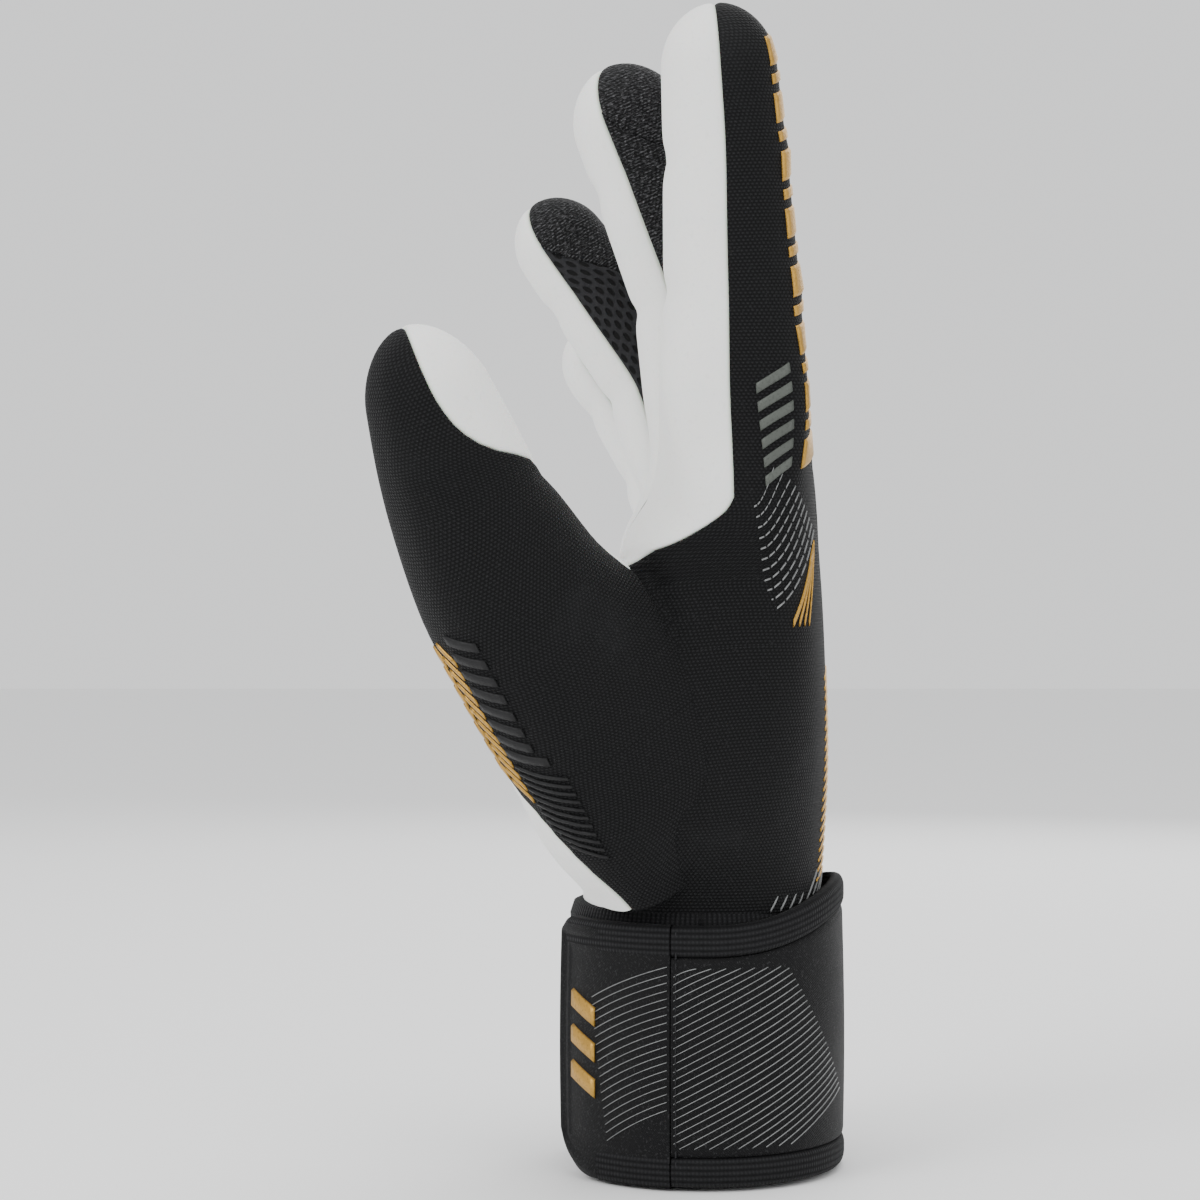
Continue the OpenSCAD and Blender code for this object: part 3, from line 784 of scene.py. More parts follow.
def index_seam(s):
    """Where the latex ends on the index finger's thumb side: down the middle of it, and below it on the
    palm's seam."""
    z = 152 + s
    edge = lane_angle(np.clip(z, 60, 153), 26)
    low = np.clip(FRONT_LOW + 156 * (palm_seam(z) + edge) / (2 + edge), FRONT_LOW, 2)
    return np.where(s < 0, low, -4 * (1 - ramp(s, 45, 85)))


def mesh_finish():
    """Open mesh: long holes in staggered rows through a black knit, which is closed below the fingers."""
    f = Shades("open_mesh", 0.7, Sheen_Weight=0.04, Sheen_Roughness=0.3, Specular_IOR_Level=0.16)
    u, v = f.cloth()
    row = f.math("MODULO", f.math("FLOOR", f.math("DIVIDE", u, 0.17)), 2.0)
    x = f.math("SUBTRACT", f.math("FRACT", f.math("DIVIDE", u, 0.17)), 0.5)
    staggered = f.math("ADD", f.math("DIVIDE", v, 0.36), f.math("MULTIPLY", row, 0.5))
    y = f.math("SUBTRACT", f.math("FRACT", staggered), 0.5)
    wide, tall = f.math("MULTIPLY", x, 2.9), f.math("MULTIPLY", y, 2.7)
    r = f.math("SQRT", f.math("ADD", f.math("POWER", wide, 2.0), f.math("POWER", tall, 2.0)))
    cloth = f.math("MAXIMUM", f.steps(r, 0.72, 1.05), f.steps(v, 0.9, 0.2))
    grain = f.noise(1400, 2, 0.6)
    tone = f.mix(grain, (0.006, 0.006, 0.007), (0.026, 0.026, 0.028))
    tone = f.mix(f.steps(v, 0.2, 1.4), (0.0038, 0.0038, 0.0042), tone)
    f.into("Base Color", f.mix(cloth, (0.0015, 0.0015, 0.0015), tone))
    f.bump(f.math("ADD", cloth, f.math("MULTIPLY", grain, 0.15)), 0.0005, 0.9)
    return f.material


MESH = mesh_finish()
HEATHER = knit_finish("heather_knit", 1.0)


def finger_cuts(name):
    """A finger's three stretches: name, the two bodies it joins, its joint's number, and its rows."""
    g = SHAPES[name]
    start = FINGER_START - FINGERS[name]["start"][2]
    first, second = g["stops"][1] / 2, (g["stops"][1] + g["stops"][2]) / 2
    root_rows = spread([int(first - start)], [start, first])
    middle_rows = spread([int((second - first) / 1.2)], [first, second])
    return [
        ("root", ("hand", f"{name}_root"), 0, root_rows),
        ("middle", (f"{name}_root", f"{name}_middle"), 1, middle_rows),
        ("tip", (f"{name}_middle", f"{name}_tip"), 2, tip_rows(second, g["body"], g["cap"], g["stops"][3])),
    ]


def over_joint(piece):
    """Bakes the piece's placing into its points."""
    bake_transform(piece)


def past_crotch(s):
    """Below the crotch of two fingers the cloth runs on from one to the next, and has no seam."""
    return ramp(s, -5, 9)


def level(value):
    """A panel edge that stays at one value."""
    return lambda s: value + 0 * s


def index_edges(part):
    """The index finger's panels, each with its two edges. Its tip has no mesh: the latex wraps over."""
    if part == "tip":
        low = lambda s: curve(s, [0, 60, 78, 92, 110], [FRONT_LOW, FRONT_LOW, -160, -186, -188])
        return {"latex": (low, index_seam), "back": (index_seam, lambda s: low(s) + 360)}
    return {
        "latex": (level(FRONT_LOW), index_seam),
        "back": (index_seam, level(BACK_HIGH)),
        "far": (level(BACK_HIGH), level(FAR_END)),
    }


def slim_edges(name, part):
    """A slim finger's panels, each with its two edges. Near the end of its tip the knit takes the mesh's
    place."""
    stops = SHAPES[name]["stops"]
    spread_out = level(0)
    slack = 0
    if part == "tip":
        spread_out = lambda s: NEAR_TURN * ramp(s, stops[2] - 6, stops[3] - 9)
        slack = 0.5
    return {
        "latex": (level(FRONT_LOW), level(FRONT_HIGH)),
        "back": (lambda s: BACK_LOW - spread_out(s), lambda s: BACK_HIGH + spread_out(s)),
        "near": (level(FRONT_HIGH), lambda s: BACK_LOW - spread_out(s) + slack),
        "far": (lambda s: BACK_HIGH + spread_out(s) - slack, level(FAR_END)),
    }


# thickness, slot, reach and depth of the rolled edge, width on a slim finger and on the index finger
PANELS = {
    "latex": (LATEX_T, "latex", (2.2, 0.9), 30, 44),
    "back": (FABRIC_T, "knit", BACK_ROUND, 26, 34),
    "near": (FABRIC_T, "mesh", (1.4, 0.6), 14, 14),
    "far": (FABRIC_T, "mesh", (1.2, 0.5), 14, 14),
}


def finger_cloth(name, part, kind):
    """Which cloth a panel is cut from. Knit stands in for mesh where the side strip of a finger shows no
    holes."""
    if kind == "latex":
        return LATEX
    if kind == "back":
        return KNIT if name == "index" else HEATHER
    if name == "middle" and kind == "near":
        return HEATHER
    return KNIT if (name, part, kind) == ("little", "root", "far") else MESH


def joined_edges(name, kind):
    """At a finger's root, the edges of a panel that run on into the next finger with no seam."""
    if kind in ("near", "far"):
        return None, None
    to_outer, to_thumb = name != "little", name != "index"
    sides = (to_outer, to_thumb) if kind == "latex" else (to_thumb, to_outer)
    return tuple(past_crotch if joined else None for joined in sides)


def finger_panel(name, part, kind, edges, rows):
    """One panel of one stretch of a finger. A strip beside the tip stops before the tip is round."""
    thick, slot, round_over, slim, wide = PANELS[kind]
    options = {}
    if part == "root":
        options["fade"] = joined_edges(name, kind)
    elif part == "tip" and kind in ("near", "far"):
        rows = rows[rows < SHAPES[name]["stops"][3] - 9.5]
    elif part == "tip":
        options["outward"] = finger_outward(name)
    return panel(
        f"{name}_{part}_{kind}_panel", finger_and_web(name), rows, *edges, wide if name == "index" else slim,
        thick, finger_cloth(name, part, kind), slot, round_over=round_over, step=1.3, **options,
    )


for name in FINGERS:
    for part, bodies, k, rows in finger_cuts(name):
        sides = index_edges(part) if name == "index" else slim_edges(name, part)
        for kind, edges in sides.items():
            piece = finger_panel(name, part, kind, edges, rows)
            over_joint(piece)
            if kind == "latex":
                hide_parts(f"{name}_{part}_latex")
            elif kind == "back":
                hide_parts(f"{name}_{part}_back")
            elif part != "tip":
                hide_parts(f"{name}_{part}_gussets")

# ---------------------------------------------------------------------------
# Prints. Raised bars of gold and silver foil, smoke grey ink and black gel,
# pressed on the index finger and on the back of the hand.
# ---------------------------------------------------------------------------


def print_finish(name, colour, roughness=0.38, metallic=0.85, specular=0.5):
    """A print on knit: the cloth's grain shows through as small dull flecks. Foil is metallic, ink and
    gel aren't."""
    f = Shades(name, roughness, Metallic=metallic, Specular_IOR_Level=specular)
    grain = f.noise(1500, 3, 0.7)
    patch = f.noise(90, 3, 0.6)
    dull = tuple(0.42 * c for c in colour)
    tone = f.mix(f.math("MULTIPLY", f.steps(grain, 0.5, 0.68), 0.55), colour, dull)
    f.into("Base Color", f.mix(f.math("MULTIPLY", f.steps(patch, 0.45, 0.75), 0.35), tone, dull))
    f.into("Roughness", f.math("ADD", f.math("MULTIPLY", grain, 0.35), roughness - 0.12))
    f.bump(grain, 0.00012, 0.7)
    return f.material


GOLD = print_finish("gold_foil", (0.47, 0.27, 0.055))
SILVER = print_finish("silver_foil", (0.2, 0.205, 0.205), 0.5, 0.35)
SMOKE = print_finish("smoke_print", (0.06, 0.068, 0.058), 0.45, 0.0)
GEL = print_finish("black_gel_print", (0.004, 0.004, 0.0045), 0.5, 0.0, 0.3)
PRINT_SINK = 0.15


def prints(name, surface, hint, bars, finish, rise=0.3, along=8):
    """Raised bars on a surface. A bar is (row, angle) at its start and at its end, its width along the
    rows, and its bow: the row at share u is the straight line between the ends, plus 4 u (1 - u) times
    the bow."""
    u = np.linspace(0, 1, along)[:, None]
    v = np.array([0, 0.12, 0.88, 1])[None] - 0.5
    crown = np.array([0.2, 1, 1, 0.2])[None, :, None]
    points, faces = [], []
    for r0, t0, r1, t1, width, bow in bars:
        r = r0 + (r1 - r0) * u + bow * 4 * u * (1 - u) + width * v
        t = t0 + (t1 - t0) * u + 0 * v
        p = surface(r, t)
        n = normals_of(p, hint(r, t))
        top = p + n * (rise * crown)
        base = p - n * PRINT_SINK
        faces.append(slab_faces(top, n, len(points) * top[..., 0].size * 2))
        points.append(np.concatenate([top.reshape(-1, 3), base.reshape(-1, 3)]))
    return place(name, np.concatenate(points), np.concatenate(faces), finish, "print")


def finger_prints(name, kind, bars, finish, **options):
    """Prints on a finger, shared out among its stretches, one piece for each stretch that holds a bar."""
    made = []
    for part, bodies, k, rows in finger_cuts(name):
        mine = [bar for bar in bars if rows[0] <= (bar[0] + bar[2]) / 2 < rows[-1]]
        if mine:
            surface, hint = finger_and_web(name), finger_outward(name)
            piece = prints(f"{name}_{part}_{kind}", surface, hint, mine, finish, **options)
            over_joint(piece)
            made.append(piece)
    return made


def fan_dashes(count=11, dashes=7):
    """A fan of dashed lines below the index finger: line by line both ends slide down and spread round
    the finger."""
    bars = []
    for i in range(count):
        s0, s1 = -2 - 2.3 * i, 7 - 1.3 * i
        t0, t1 = 4 + 1.5 * i, 24 + 8.6 * i
        for j in range(dashes):
            a, b = j / dashes, (j + 0.78) / dashes
            row_a, row_b = (s0 + (s1 - s0) * u**1.5 for u in (a, b))
            bars.append((row_a, t0 + (t1 - t0) * a, row_b, t0 + (t1 - t0) * b, 0.42, 0))
    return bars


# Wide and narrow slanted foil bars take turns along the back of the index finger
wide_bars = [(s, 54, s + 3.5, 128, 6.4, 0) for s in np.arange(9.5, 100, 12.4)]
thin_bars = [(s + 6.3, 54, s + 9.8, 128, 2.2, 0) for s in np.arange(9.5, 95, 12.4)]
for piece in finger_prints("index", "gold_bars", wide_bars + thin_bars, GOLD, rise=0.45, along=12):
    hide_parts(piece.name.replace("gold_bars", "badge"))
smoke_bars = [(s, 15, s + 4.5, 40, 2.3, 0) for s in np.arange(3.5, 25, 4.1)]
gold_rays = [(-27.4, 58 + 11 * i, -12.5 + i, 98 + 3 * i, 1.7 - 0.2 * i, -0.8) for i in range(4)]
finger_prints("index", "smoke_bars", smoke_bars, SMOKE, rise=0.3)
finger_prints("index", "silver_fan", fan_dashes(), SILVER, rise=0.28, along=3)
finger_prints("index", "gold_rays", gold_rays, GOLD, rise=0.35)


def around(r, t):
    """The way out of an upright tube at an angle: the cosine and sine of it."""
    return np.stack([np.cos(np.radians(t)), np.sin(np.radians(t)), 0 * t + 0 * r], -1)


# Down the back edge of the hand runs a row of fine slanted lines, gold above and silver at the wrist
gold_lines = [(z, 66, z + 2.6, 80, 0.6, 0) for z in np.arange(66, 114, 2.3)]
silver_lines = [(60.5, 30 + 6 * i, 70 - 0.4 * i, 41 + 6 * i, 0.8, 0) for i in range(8)]
gel_bars = [(z, 100, z + 7, 146, 2.6, 0) for z in np.arange(72, 108, 6)]
edge_lines = prints("backhand_gold_lines", hand_and_web, around, gold_lines, GOLD, rise=0.3)
wrist_lines = prints("backhand_silver_lines", hand_and_web, around, silver_lines, SILVER, rise=0.28)
chevrons = prints("backhand_gel_bars", hand_and_web, around, gel_bars, GEL, rise=0.6)
for piece in (edge_lines, wrist_lines, chevrons):
    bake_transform(piece)
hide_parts("backhand_stripes")

# ---------------------------------------------------------------------------
# Thumb. A wide tube with latex on its pad that wraps over the tip, and black
# knit over the rest. It joins the hand in a soft web.
# ---------------------------------------------------------------------------


def on_thumb(s, values):
    """Points or directions of the thumb's line at a length along it, held at its two ends."""
    here = np.clip(s, THUMB_LINE_S[0], THUMB_S[3])
    return np.stack([np.interp(here, THUMB_LINE_S, values[:, i]) for i in range(3)], -1)


def thumb_at(s, t):
    """The thumb's surface at a length and an angle: 90 is its back and -90 its pad. It is creased in
    front of its two joints, and its tip is a dome."""
    a, b = thumb_sizes(s)
    cap = THUMB_S[3] - THUMB_BODY
    dome = np.sqrt(np.clip(1 - (np.clip(s - THUMB_BODY, 0, None) / cap) ** 2, 0, 1))
    for k, depth in ((1, 0.6), (2, 1.0)):
        crease = np.exp(-(((s - THUMB_S[k]) / 3.6) ** 2))
        b = b - depth * crease * np.clip(-np.sin(np.radians(t)), 0, 1) ** 2
    x, y = rounded(t, THUMB_ROUNDNESS)
    across, behind = (a * dome * x)[..., None], (b * dome * y)[..., None]
    return on_thumb(s, THUMB_CENTRE) + across * on_thumb(s, THUMB_SIDE) + behind * on_thumb(s, THUMB_BACK)


def thumb_outward(s, t):
    """The way out of the thumb: across its line, and along it at the tip."""
    c, w = np.cos(np.radians(t))[..., None], np.sin(np.radians(t))[..., None]
    tip = ramp(s, THUMB_BODY, THUMB_S[3] - 0.01)[..., None]
    ring = c * on_thumb(s, THUMB_SIDE) + w * on_thumb(s, THUMB_BACK)
    return unit(ring * (1 - tip) + on_thumb(s, THUMB_WAY) * (tip + 1e-6))


def thumb_and_web(s, t):
    """The thumb's surface, drawn out into the web where it joins the hand."""
    p = thumb_at(s, t)
    if s.min() > 75:
        return p
    n = normals_of(p, thumb_outward(s, t))
    q = webbed(p, n, thumb_gap, hand_gap)
    return p + (q - p) * (ramp(s, -8, 16) * (1 - ramp(s, 60, 80)))[..., None]


# The latex pad's two edges: at each length, their angles round the thumb
PAD_LEFT_S = [-16, 40, 52, 75, 86, 91, 95, 99, 105, 112, 120, 130]
PAD_LEFT = [-100, -104, -108, -112, -112, -122, -142, -166, -188, -200, -205, -206]
PAD_RIGHT_S = [-16, 0, 10, 18, 26, 36, 52, 75, 130]
PAD_RIGHT = [128, 116, 103, 86, 65, 48, 20, 12, 12]
THUMB_START = -10
FIRST_CUT, SECOND_CUT = THUMB_S[1] / 2 + 4, (THUMB_S[1] + THUMB_S[2]) / 2
THUMB_TIP_ROWS = tip_rows(SECOND_CUT, THUMB_BODY, THUMB_S[3] - THUMB_BODY, THUMB_S[3])
THUMB_CUTS = [
    ("base", ("hand", "thumb_base"), spread([30], [THUMB_START, FIRST_CUT])),
    ("middle", ("thumb_base", "thumb_middle"), spread([34], [FIRST_CUT, SECOND_CUT])),
    ("tip", ("thumb_middle", "thumb_tip"), THUMB_TIP_ROWS),
]


def pad_left(s):
    """The pad's edge on the palm side, which turns up over the tip."""
    return curve(s, PAD_LEFT_S, PAD_LEFT)


def pad_right(s):
    """The pad's edge on the outer side."""
    return curve(s, PAD_RIGHT_S, PAD_RIGHT)


def over_thumb(piece):
    """Bakes the piece's placing into its points."""
    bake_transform(piece)


for part, bodies, rows in THUMB_CUTS:
    pad = panel(
        f"thumb_{part}_pad", thumb_and_web, rows, pad_left, pad_right,
        56, LATEX_T, LATEX, "latex", round_over=(2.4, 1.0), outward=thumb_outward,
    )
    over_thumb(pad)
    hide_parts(f"thumb_{part}_latex")
    knit = panel(
        f"thumb_{part}_knit", thumb_and_web, rows, pad_right, lambda s: pad_left(s) + 360,
        60, FABRIC_T, KNIT, "knit", round_over=BACK_ROUND, outward=thumb_outward,
    )
    over_thumb(knit)
    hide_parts(f"thumb_{part}_back")


def thumb_prints(kind, bars, finish, **options):
    """Prints on the thumb, shared out among its stretches, one piece for each stretch that holds a bar."""
    made = []
    for part, bodies, rows in THUMB_CUTS:
        mine = [bar for bar in bars if rows[0] <= (bar[0] + bar[2]) / 2 < rows[-1]]
        if mine:
            piece = prints(f"thumb_{part}_{kind}", thumb_and_web, thumb_outward, mine, finish, **options)
            over_thumb(piece)
            made.append(piece)
    return made


# Two rows of slanted foil bars run up the thumb's outer edge, beside a staircase of raised bars. The
# lowest raised bars start clear of the pad's edge.
gold_blocks = [(s + 1.6, 66, s - 0.6, 76, 3.4, 0) for s in np.arange(30.4, 62, 5.2)]
gold_bars = [(s, 79, s - 4.4, 94, 1.6, 0) for s in np.arange(28.2, 66, 3.4)]
stairs = [(s, 97, s - 2.9, 128 if s < 40 else 122, 2.4, 0) for s in np.arange(38, 68, 4.2)]
stairs += [(s, max(98, pad_right(s) + 12), s - 4.4, 134, 0.8, 0) for s in np.arange(12.2, 35.5, 2.2)]
foil = thumb_prints("gold_blocks", gold_blocks, GOLD, rise=0.4)
foil += thumb_prints("gold_bars", gold_bars, GOLD, rise=0.4)
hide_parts("thumb_badge")
thumb_prints("gel_bars", stairs, GEL, rise=0.6)

# ---------------------------------------------------------------------------
# Strap. A wide smooth band round the wrist with a knitted binding along each
# edge. One seam down the thumb side joins it to the tail, which peels away.
# ---------------------------------------------------------------------------
# half width, half depth and centre of the wrist's oval, and the strap's height, which rises at the back
STRAP_A, STRAP_B, STRAP_Y = 40.0, 33.5, 1.5
CUFF_TOP, BACK_RISE = 58.0, 8.5
# angles round the wrist: the seam of the tail, the tail's free end, and the band's far end, which is sewn
# to the bandage short of the tail
SEAM_T, TAIL_T, ANCHOR_T = -13.0, -73.0, 236.0
STRAP_T, BINDING_H = 3.0, 7.0


def strap_at(z, t):
    """The strap is an oval tube that swells a little between its two edges."""
    swell = 0.5 * np.sin(np.pi * np.clip(z / CUFF_TOP, 0, 1))
    c, s = np.cos(np.radians(t)), np.sin(np.radians(t))
    return np.stack([(STRAP_A - 0.5 + swell) * c, STRAP_Y + (STRAP_B - 0.5 + swell) * s, z + 0 * t], -1)


def top_z(t):
    """The height of the strap's top edge at an angle."""
    return CUFF_TOP + BACK_RISE * np.clip(np.sin(np.radians(t)), 0, None) ** 2.4


def strap_finish():
    """Smooth black strap cloth: a fine twill, cloudy wear, and small pale specks of painted glint, more of
    them on the worn patches.
    """
    f = Shades("strap_cloth", 0.5, Sheen_Weight=0.02, Sheen_Roughness=0.3, Specular_IOR_Level=0.12)
    u, v = f.cloth()
    twill = f.wave(f.math("ADD", u, v), 0.06)
    wear = f.noise(60, 3, 0.6)
    specks = f.steps(f.noise(1900, 3, 0.7), 0.54, 0.68)
    shade = f.math("ADD", f.math("MULTIPLY", twill, 0.5), f.math("MULTIPLY", wear, 0.4))
    tone = f.mix(shade, (0.0015, 0.0015, 0.0018), (0.007, 0.007, 0.0075))
    # Painted highlight: the pale specks are painted glints, thicker where the wear noise is high.
    glint = f.math("MULTIPLY", specks, f.math("ADD", f.math("MULTIPLY", wear, 0.7), 0.1))
    f.into("Base Color", f.mix(glint, tone, (0.05, 0.05, 0.052)))
    f.into("Roughness", f.math("ADD", f.math("MULTIPLY", wear, 0.25), 0.45))
    grain = f.math("ADD", wear, f.math("MULTIPLY", specks, 0.5))
    f.bump(f.math("ADD", f.math("MULTIPLY", twill, 0.4), grain), 0.0002, 0.7)
    return f.material


def binding_finish():
    """Knitted binding: close ribs across its width, crossed by rows of stitches, with loose fibres. The ribs
    and stitches are painted lighter on their crowns as a painted highlight and darker between as painted
    shade.
    """
    f = Shades("knitted_binding", 0.85, Sheen_Weight=0.03, Sheen_Roughness=0.3, Specular_IOR_Level=0.14)
    u, v = f.cloth()
    ribs = f.wave(u, 0.13)
    rows = f.wave(v, 0.09)
    fuzz = f.noise(700, 3, 0.7)
    knit = f.math("MULTIPLY", f.math("POWER", ribs, 0.8), f.math("ADD", f.math("MULTIPLY", rows, 0.5), 0.5))
    shade = f.math("ADD", f.math("MULTIPLY", knit, 0.7), f.math("MULTIPLY", fuzz, 0.3))
    # Painted highlight and shade: the ribs and stitches are painted lighter on their crowns and darker
    # between them.
    f.into("Base Color", f.mix(shade, (0.001, 0.001, 0.0012), (0.022, 0.022, 0.0235)))
    f.bump(f.math("ADD", knit, f.math("MULTIPLY", fuzz, 0.4)), 0.0004, 0.85)
    return f.material


STRAP = strap_finish()
BINDING = binding_finish()


def round_wrist(t, z):
    """The strap's surface with its rows running round the wrist."""
    return strap_at(z, t)


def out_of_wrist(t, z):
    """The way out of the wrist, with the rows running round it."""
    return around(z, t)


def band(name, low, high, finish, slot, lift, round_over, count, step=1.6):
    """The strap from its seam round to its far end. Its two edges are heights, as functions of the
    angle."""
    turns = np.linspace(SEAM_T, ANCHOR_T, int((ANCHOR_T - SEAM_T) * 0.64 / step))
    height = float(np.mean(high(turns) - low(turns)))
    piece = panel(
        name, round_wrist, turns, low, high, height, STRAP_T, finish, slot,
        lift=lift, round_over=round_over, step=height / count, outward=out_of_wrist,
    )
    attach(piece, "cuff")
    return piece


main_band = band(
    "strap_cloth_band", level(BINDING_H + 0.1), lambda t: top_z(t) - BINDING_H - 0.1,
    STRAP, "strap", 0.0, (1.5, 0.5), 16,
)
top_binding = band(
    "strap_top_knit_binding", lambda t: top_z(t) - BINDING_H, top_z,
    BINDING, "hem", 0.35, (2.6, 1.5), 7,
)
low_binding = band(
    "strap_low_knit_binding", level(0.3), level(BINDING_H),
    BINDING, "hem", 0.35, (2.6, 1.5), 7,
)
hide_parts("strap_band")
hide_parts("strap_top_binding")
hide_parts("strap_bottom_binding")

# Fine silver lines rise across the cloth, up to a slanted edge on the back of the wrist
LINE_RISE = 0.31


def rising_line(z):
    """A line that starts at the seam at height z, or where it clears the binding, and ends at the slanted
    edge."""
    top = min((z + 32.9) / 1.372, 49.5)
    start = max(SEAM_T + 1, SEAM_T + (9 - z) / LINE_RISE)
    return z + (start - SEAM_T) * LINE_RISE, start, top - 0.8, SEAM_T + (top - z) / LINE_RISE, 0.22, 0.3


rising = [rising_line(z) for z in np.arange(-6, 48, 1.75)]
rising = [line for line in rising if line[3] > line[1] + 4]
band_lines = prints("strap_silver_lines", strap_at, around, rising, SILVER, rise=0.22, along=14)
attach(band_lines, "cuff")

# ---------------------------------------------------------------------------
# Tail. The strap's free end, with round corners, a smooth moulded border and
# three plain gold bars. Its seam to the strap is where it hinges when peeled.
# ---------------------------------------------------------------------------
# millimetres round the wrist for each degree, and the radii of the tail's two corners
ARC = math.radians(37)
TOP_R, LOW_R = 5.0, 15.0


def tail_low(t):
    """The tail's lower edge: level, with a quarter circle at the free end."""
    d = np.clip((t - TAIL_T) * ARC, 0, LOW_R)
    return 0.2 + LOW_R - np.sqrt(np.maximum(LOW_R**2 - (LOW_R - d) ** 2, 0))


def tail_high(t):
    """The tail's upper edge: level, with a quarter circle at the free end."""
    d = np.clip((t - TAIL_T) * ARC, 0, TOP_R)
    return CUFF_TOP - TOP_R + np.sqrt(np.maximum(TOP_R**2 - (TOP_R - d) ** 2, 0))


def tail_border(t, z, edge):
    """Two smooth ridges along the free end, one inside the next, and a thinned rim."""
    d = np.minimum((t - TAIL_T) * ARC, 60)
    corner = np.minimum(d, edge)
    away = np.where(d < 22, corner, 9)
    ridge = np.exp(-((away - 2.6) / 1.3) ** 2) * 0.9 + np.exp(-((away - 5.8) / 0.8) ** 2) * 0.35
    return ridge * ramp(24 - d, 0, 10) - 0.8 * ramp(1.2 - d, 0, 1.2)


def tail_band(name, t0, low, high, finish, slot, lift, round_over, step, relief=None):
    """A panel of the tail from angle t0 to the seam, with its columns closer together towards the free
    end."""
    turns = TAIL_T + 0.4 + (SEAM_T - TAIL_T - 0.9) * np.linspace(0, 1, 56) ** 1.3
    return panel(
        name, round_wrist, turns[turns >= t0], low, high, 48, STRAP_T, finish, slot,
        lift=lift, round_over=round_over, step=step, outward=out_of_wrist, relief=relief,
    )


tail_cloth = tail_band(
    "tail_cloth", TAIL_T, tail_low, tail_high,
    STRAP, "strap", 0.1, (1.6, 0.8), 1.2, tail_border,
)
tail_top = tail_band(
    "tail_top_knit_binding", -66, lambda t: tail_high(t) - BINDING_H, lambda t: tail_high(t) + 0.1,
    BINDING, "hem", 0.55, (2.4, 1.2), 1.0,
)
tail_foot = tail_band(
    "tail_low_knit_binding", -46, lambda t: tail_low(t) - 0.1, lambda t: tail_low(t) + BINDING_H,
    BINDING, "hem", 0.55, (2.4, 1.2), 1.0,
)
falling = [
    (z - 6.5, max(-52, -36 - z * 0.25), z + 1.5, SEAM_T - 1.5, 0.22, 0.6)
    for z in np.arange(16, 49, 1.75)
]
tail_lines = prints("tail_silver_lines", strap_at, around, falling, SILVER, rise=0.32, along=10)
gold_bars = [(z, -60, z - 3.5, -46, 4.4, 0) for z in (24, 32, 40)]
badge = prints("tail_gold_bars", strap_at, around, gold_bars, GOLD, rise=0.75, along=8)
for piece in (tail_cloth, tail_top, tail_foot, tail_lines, badge):
    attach(piece, "strap_tail")
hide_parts("strap_tail")
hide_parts("strap_tail_binding")
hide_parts("strap_badge")

# Stitches down the seam, one short thread after another
threads = [(z, SEAM_T + 1.6, z + 0.2, SEAM_T + 2.1, 1.5, 0) for z in np.arange(3, 56, 2.3)]
stitches = prints("seam_stitches", strap_at, around, threads, BINDING, rise=0.3, along=3)
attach(stitches, "cuff")

# ---------------------------------------------------------------------------
# Wrist. An elastic knitted bandage runs up inside the strap and into the hand,
# with a hem round the mouth and a brushed lining.
# ---------------------------------------------------------------------------
RING_COUNT = 128


def tube(name, profile, finish, slot):
    """A closed ring: a profile of (half width, half depth, height) points carried round the wrist's
    oval."""
    profile = np.asarray(profile, float)
    turn = np.linspace(0, 2 * np.pi, RING_COUNT, endpoint=False)
    a, b, z = (profile[:, k : k + 1] for k in range(3))
    p = np.stack([a * np.cos(turn), STRAP_Y + b * np.sin(turn), z + 0 * turn], -1)
    faces = quads(len(profile) + 1, RING_COUNT, wrap=True) % (len(profile) * RING_COUNT)
    far = np.cumsum(np.concatenate([[0], np.linalg.norm(np.diff(profile, axis=0), axis=1)]))[:, None]
    uv = np.stack([turn * 34 + 0 * far, far + 0 * turn], -1) / 10
    return place(name, p.reshape(-1, 3), faces, finish, slot, uv=uv.reshape(-1, 2))


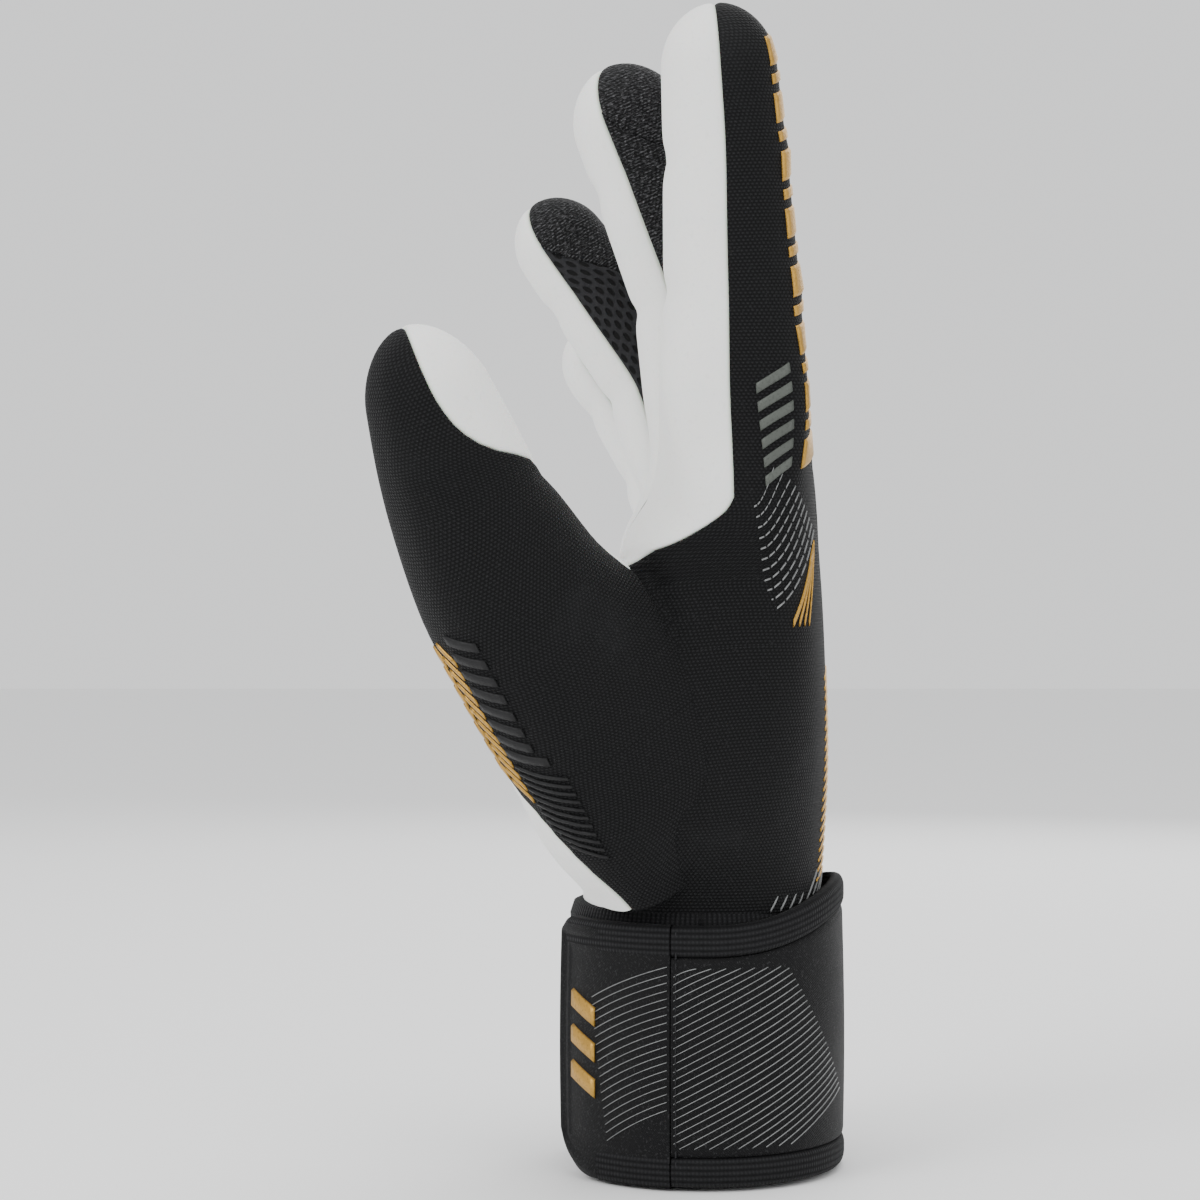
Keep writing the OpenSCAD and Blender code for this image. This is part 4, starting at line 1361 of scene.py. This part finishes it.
bandage = tube("wrist_elastic_bandage", [
    (34.9, 28.4, 5), (34.9, 28.4, 30), (35.0, 28.5, 48), (36.2, 29.7, 54), (36.5, 30.0, 57.5),
    (35.6, 29.1, 60.2), (33.2, 26.0, 61.5), (32.0, 23.4, 66), (32.0, 22.6, 76), (30.2, 20.8, 76),
    (30.2, 21.4, 62), (32.6, 26.0, 52), (32.7, 26.2, 30), (32.7, 26.2, 5),
], BINDING, "rib_knit")
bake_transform(bandage)
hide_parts("wrist_bandage")
palm_cloth = panel(
    "palm_brushed_lining", hand_at, spread([10, 20], [64, 84, FINGER_START - 1]), level(-156), level(-62),
    80, 1.0, KNIT, "lining", lift=-3.5, step=3,
)
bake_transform(palm_cloth)
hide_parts("palm_lining")
lining = tube("cuff_brushed_lining", [
    (32.7, 26.1, 4.2), (32.7, 26.1, 50), (31.7, 25.2, 50), (31.7, 25.2, 4.2),
], KNIT, "lining")
hem = tube("cuff_mouth_hem", [
    (35.1, 28.6, 4), (35.4, 28.9, 2), (34.6, 28.1, 0.3), (33.4, 26.9, 0),
    (32.2, 25.7, 0.3), (31.5, 25.0, 2), (31.75, 25.25, 4),
], BINDING, "hem")
for piece, node in ((lining, "cuff_lining"), (hem, "cuff_hem")):
    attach(piece, "cuff")
    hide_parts(node)

# ---------------------------------------------------------------------------
# Fastener. A patch of hooks on the tail's inner face grips a patch of loops on
# the bandage under it. Both are plain woven tape, sewn on.
# ---------------------------------------------------------------------------


def fastener_finish(name, pitch, tone, depth):
    """Rows of small hooks or loops: a wave in height times a wave across the wrist, with loose fibres."""
    f = Shades(name, 0.6, Specular_IOR_Level=0.3)
    split = f.node("ShaderNodeSeparateXYZ", {0: f.place()})
    across = f.math("ADD", split.outputs[0], split.outputs[1])
    pile = f.math("MULTIPLY", f.wave(split.outputs[2], pitch), f.wave(across, pitch))
    fuzz = f.noise(1800, 3, 0.7)
    shade = f.math("ADD", f.math("MULTIPLY", pile, 0.6), f.math("MULTIPLY", fuzz, 0.4))
    f.into("Base Color", f.mix(shade, (0.003, 0.003, 0.003), tone))
    f.bump(f.math("ADD", pile, f.math("MULTIPLY", fuzz, 0.5)), depth, 0.9)
    return f.material


HOOKS = fastener_finish("hook_tape", 0.0016, (0.03, 0.03, 0.03), 0.0005)
LOOPS = fastener_finish("loop_tape", 0.0011, (0.035, 0.035, 0.037), 0.0004)
for node, finish in (("hook_patch", HOOKS), ("loop_patch", LOOPS)):
    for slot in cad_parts[node].material_slots:
        slot.material = finish

# ---------------------------------------------------------------------------
# Last, the scene's view layer is brought up to date.
# ---------------------------------------------------------------------------
bpy.context.view_layer.update()
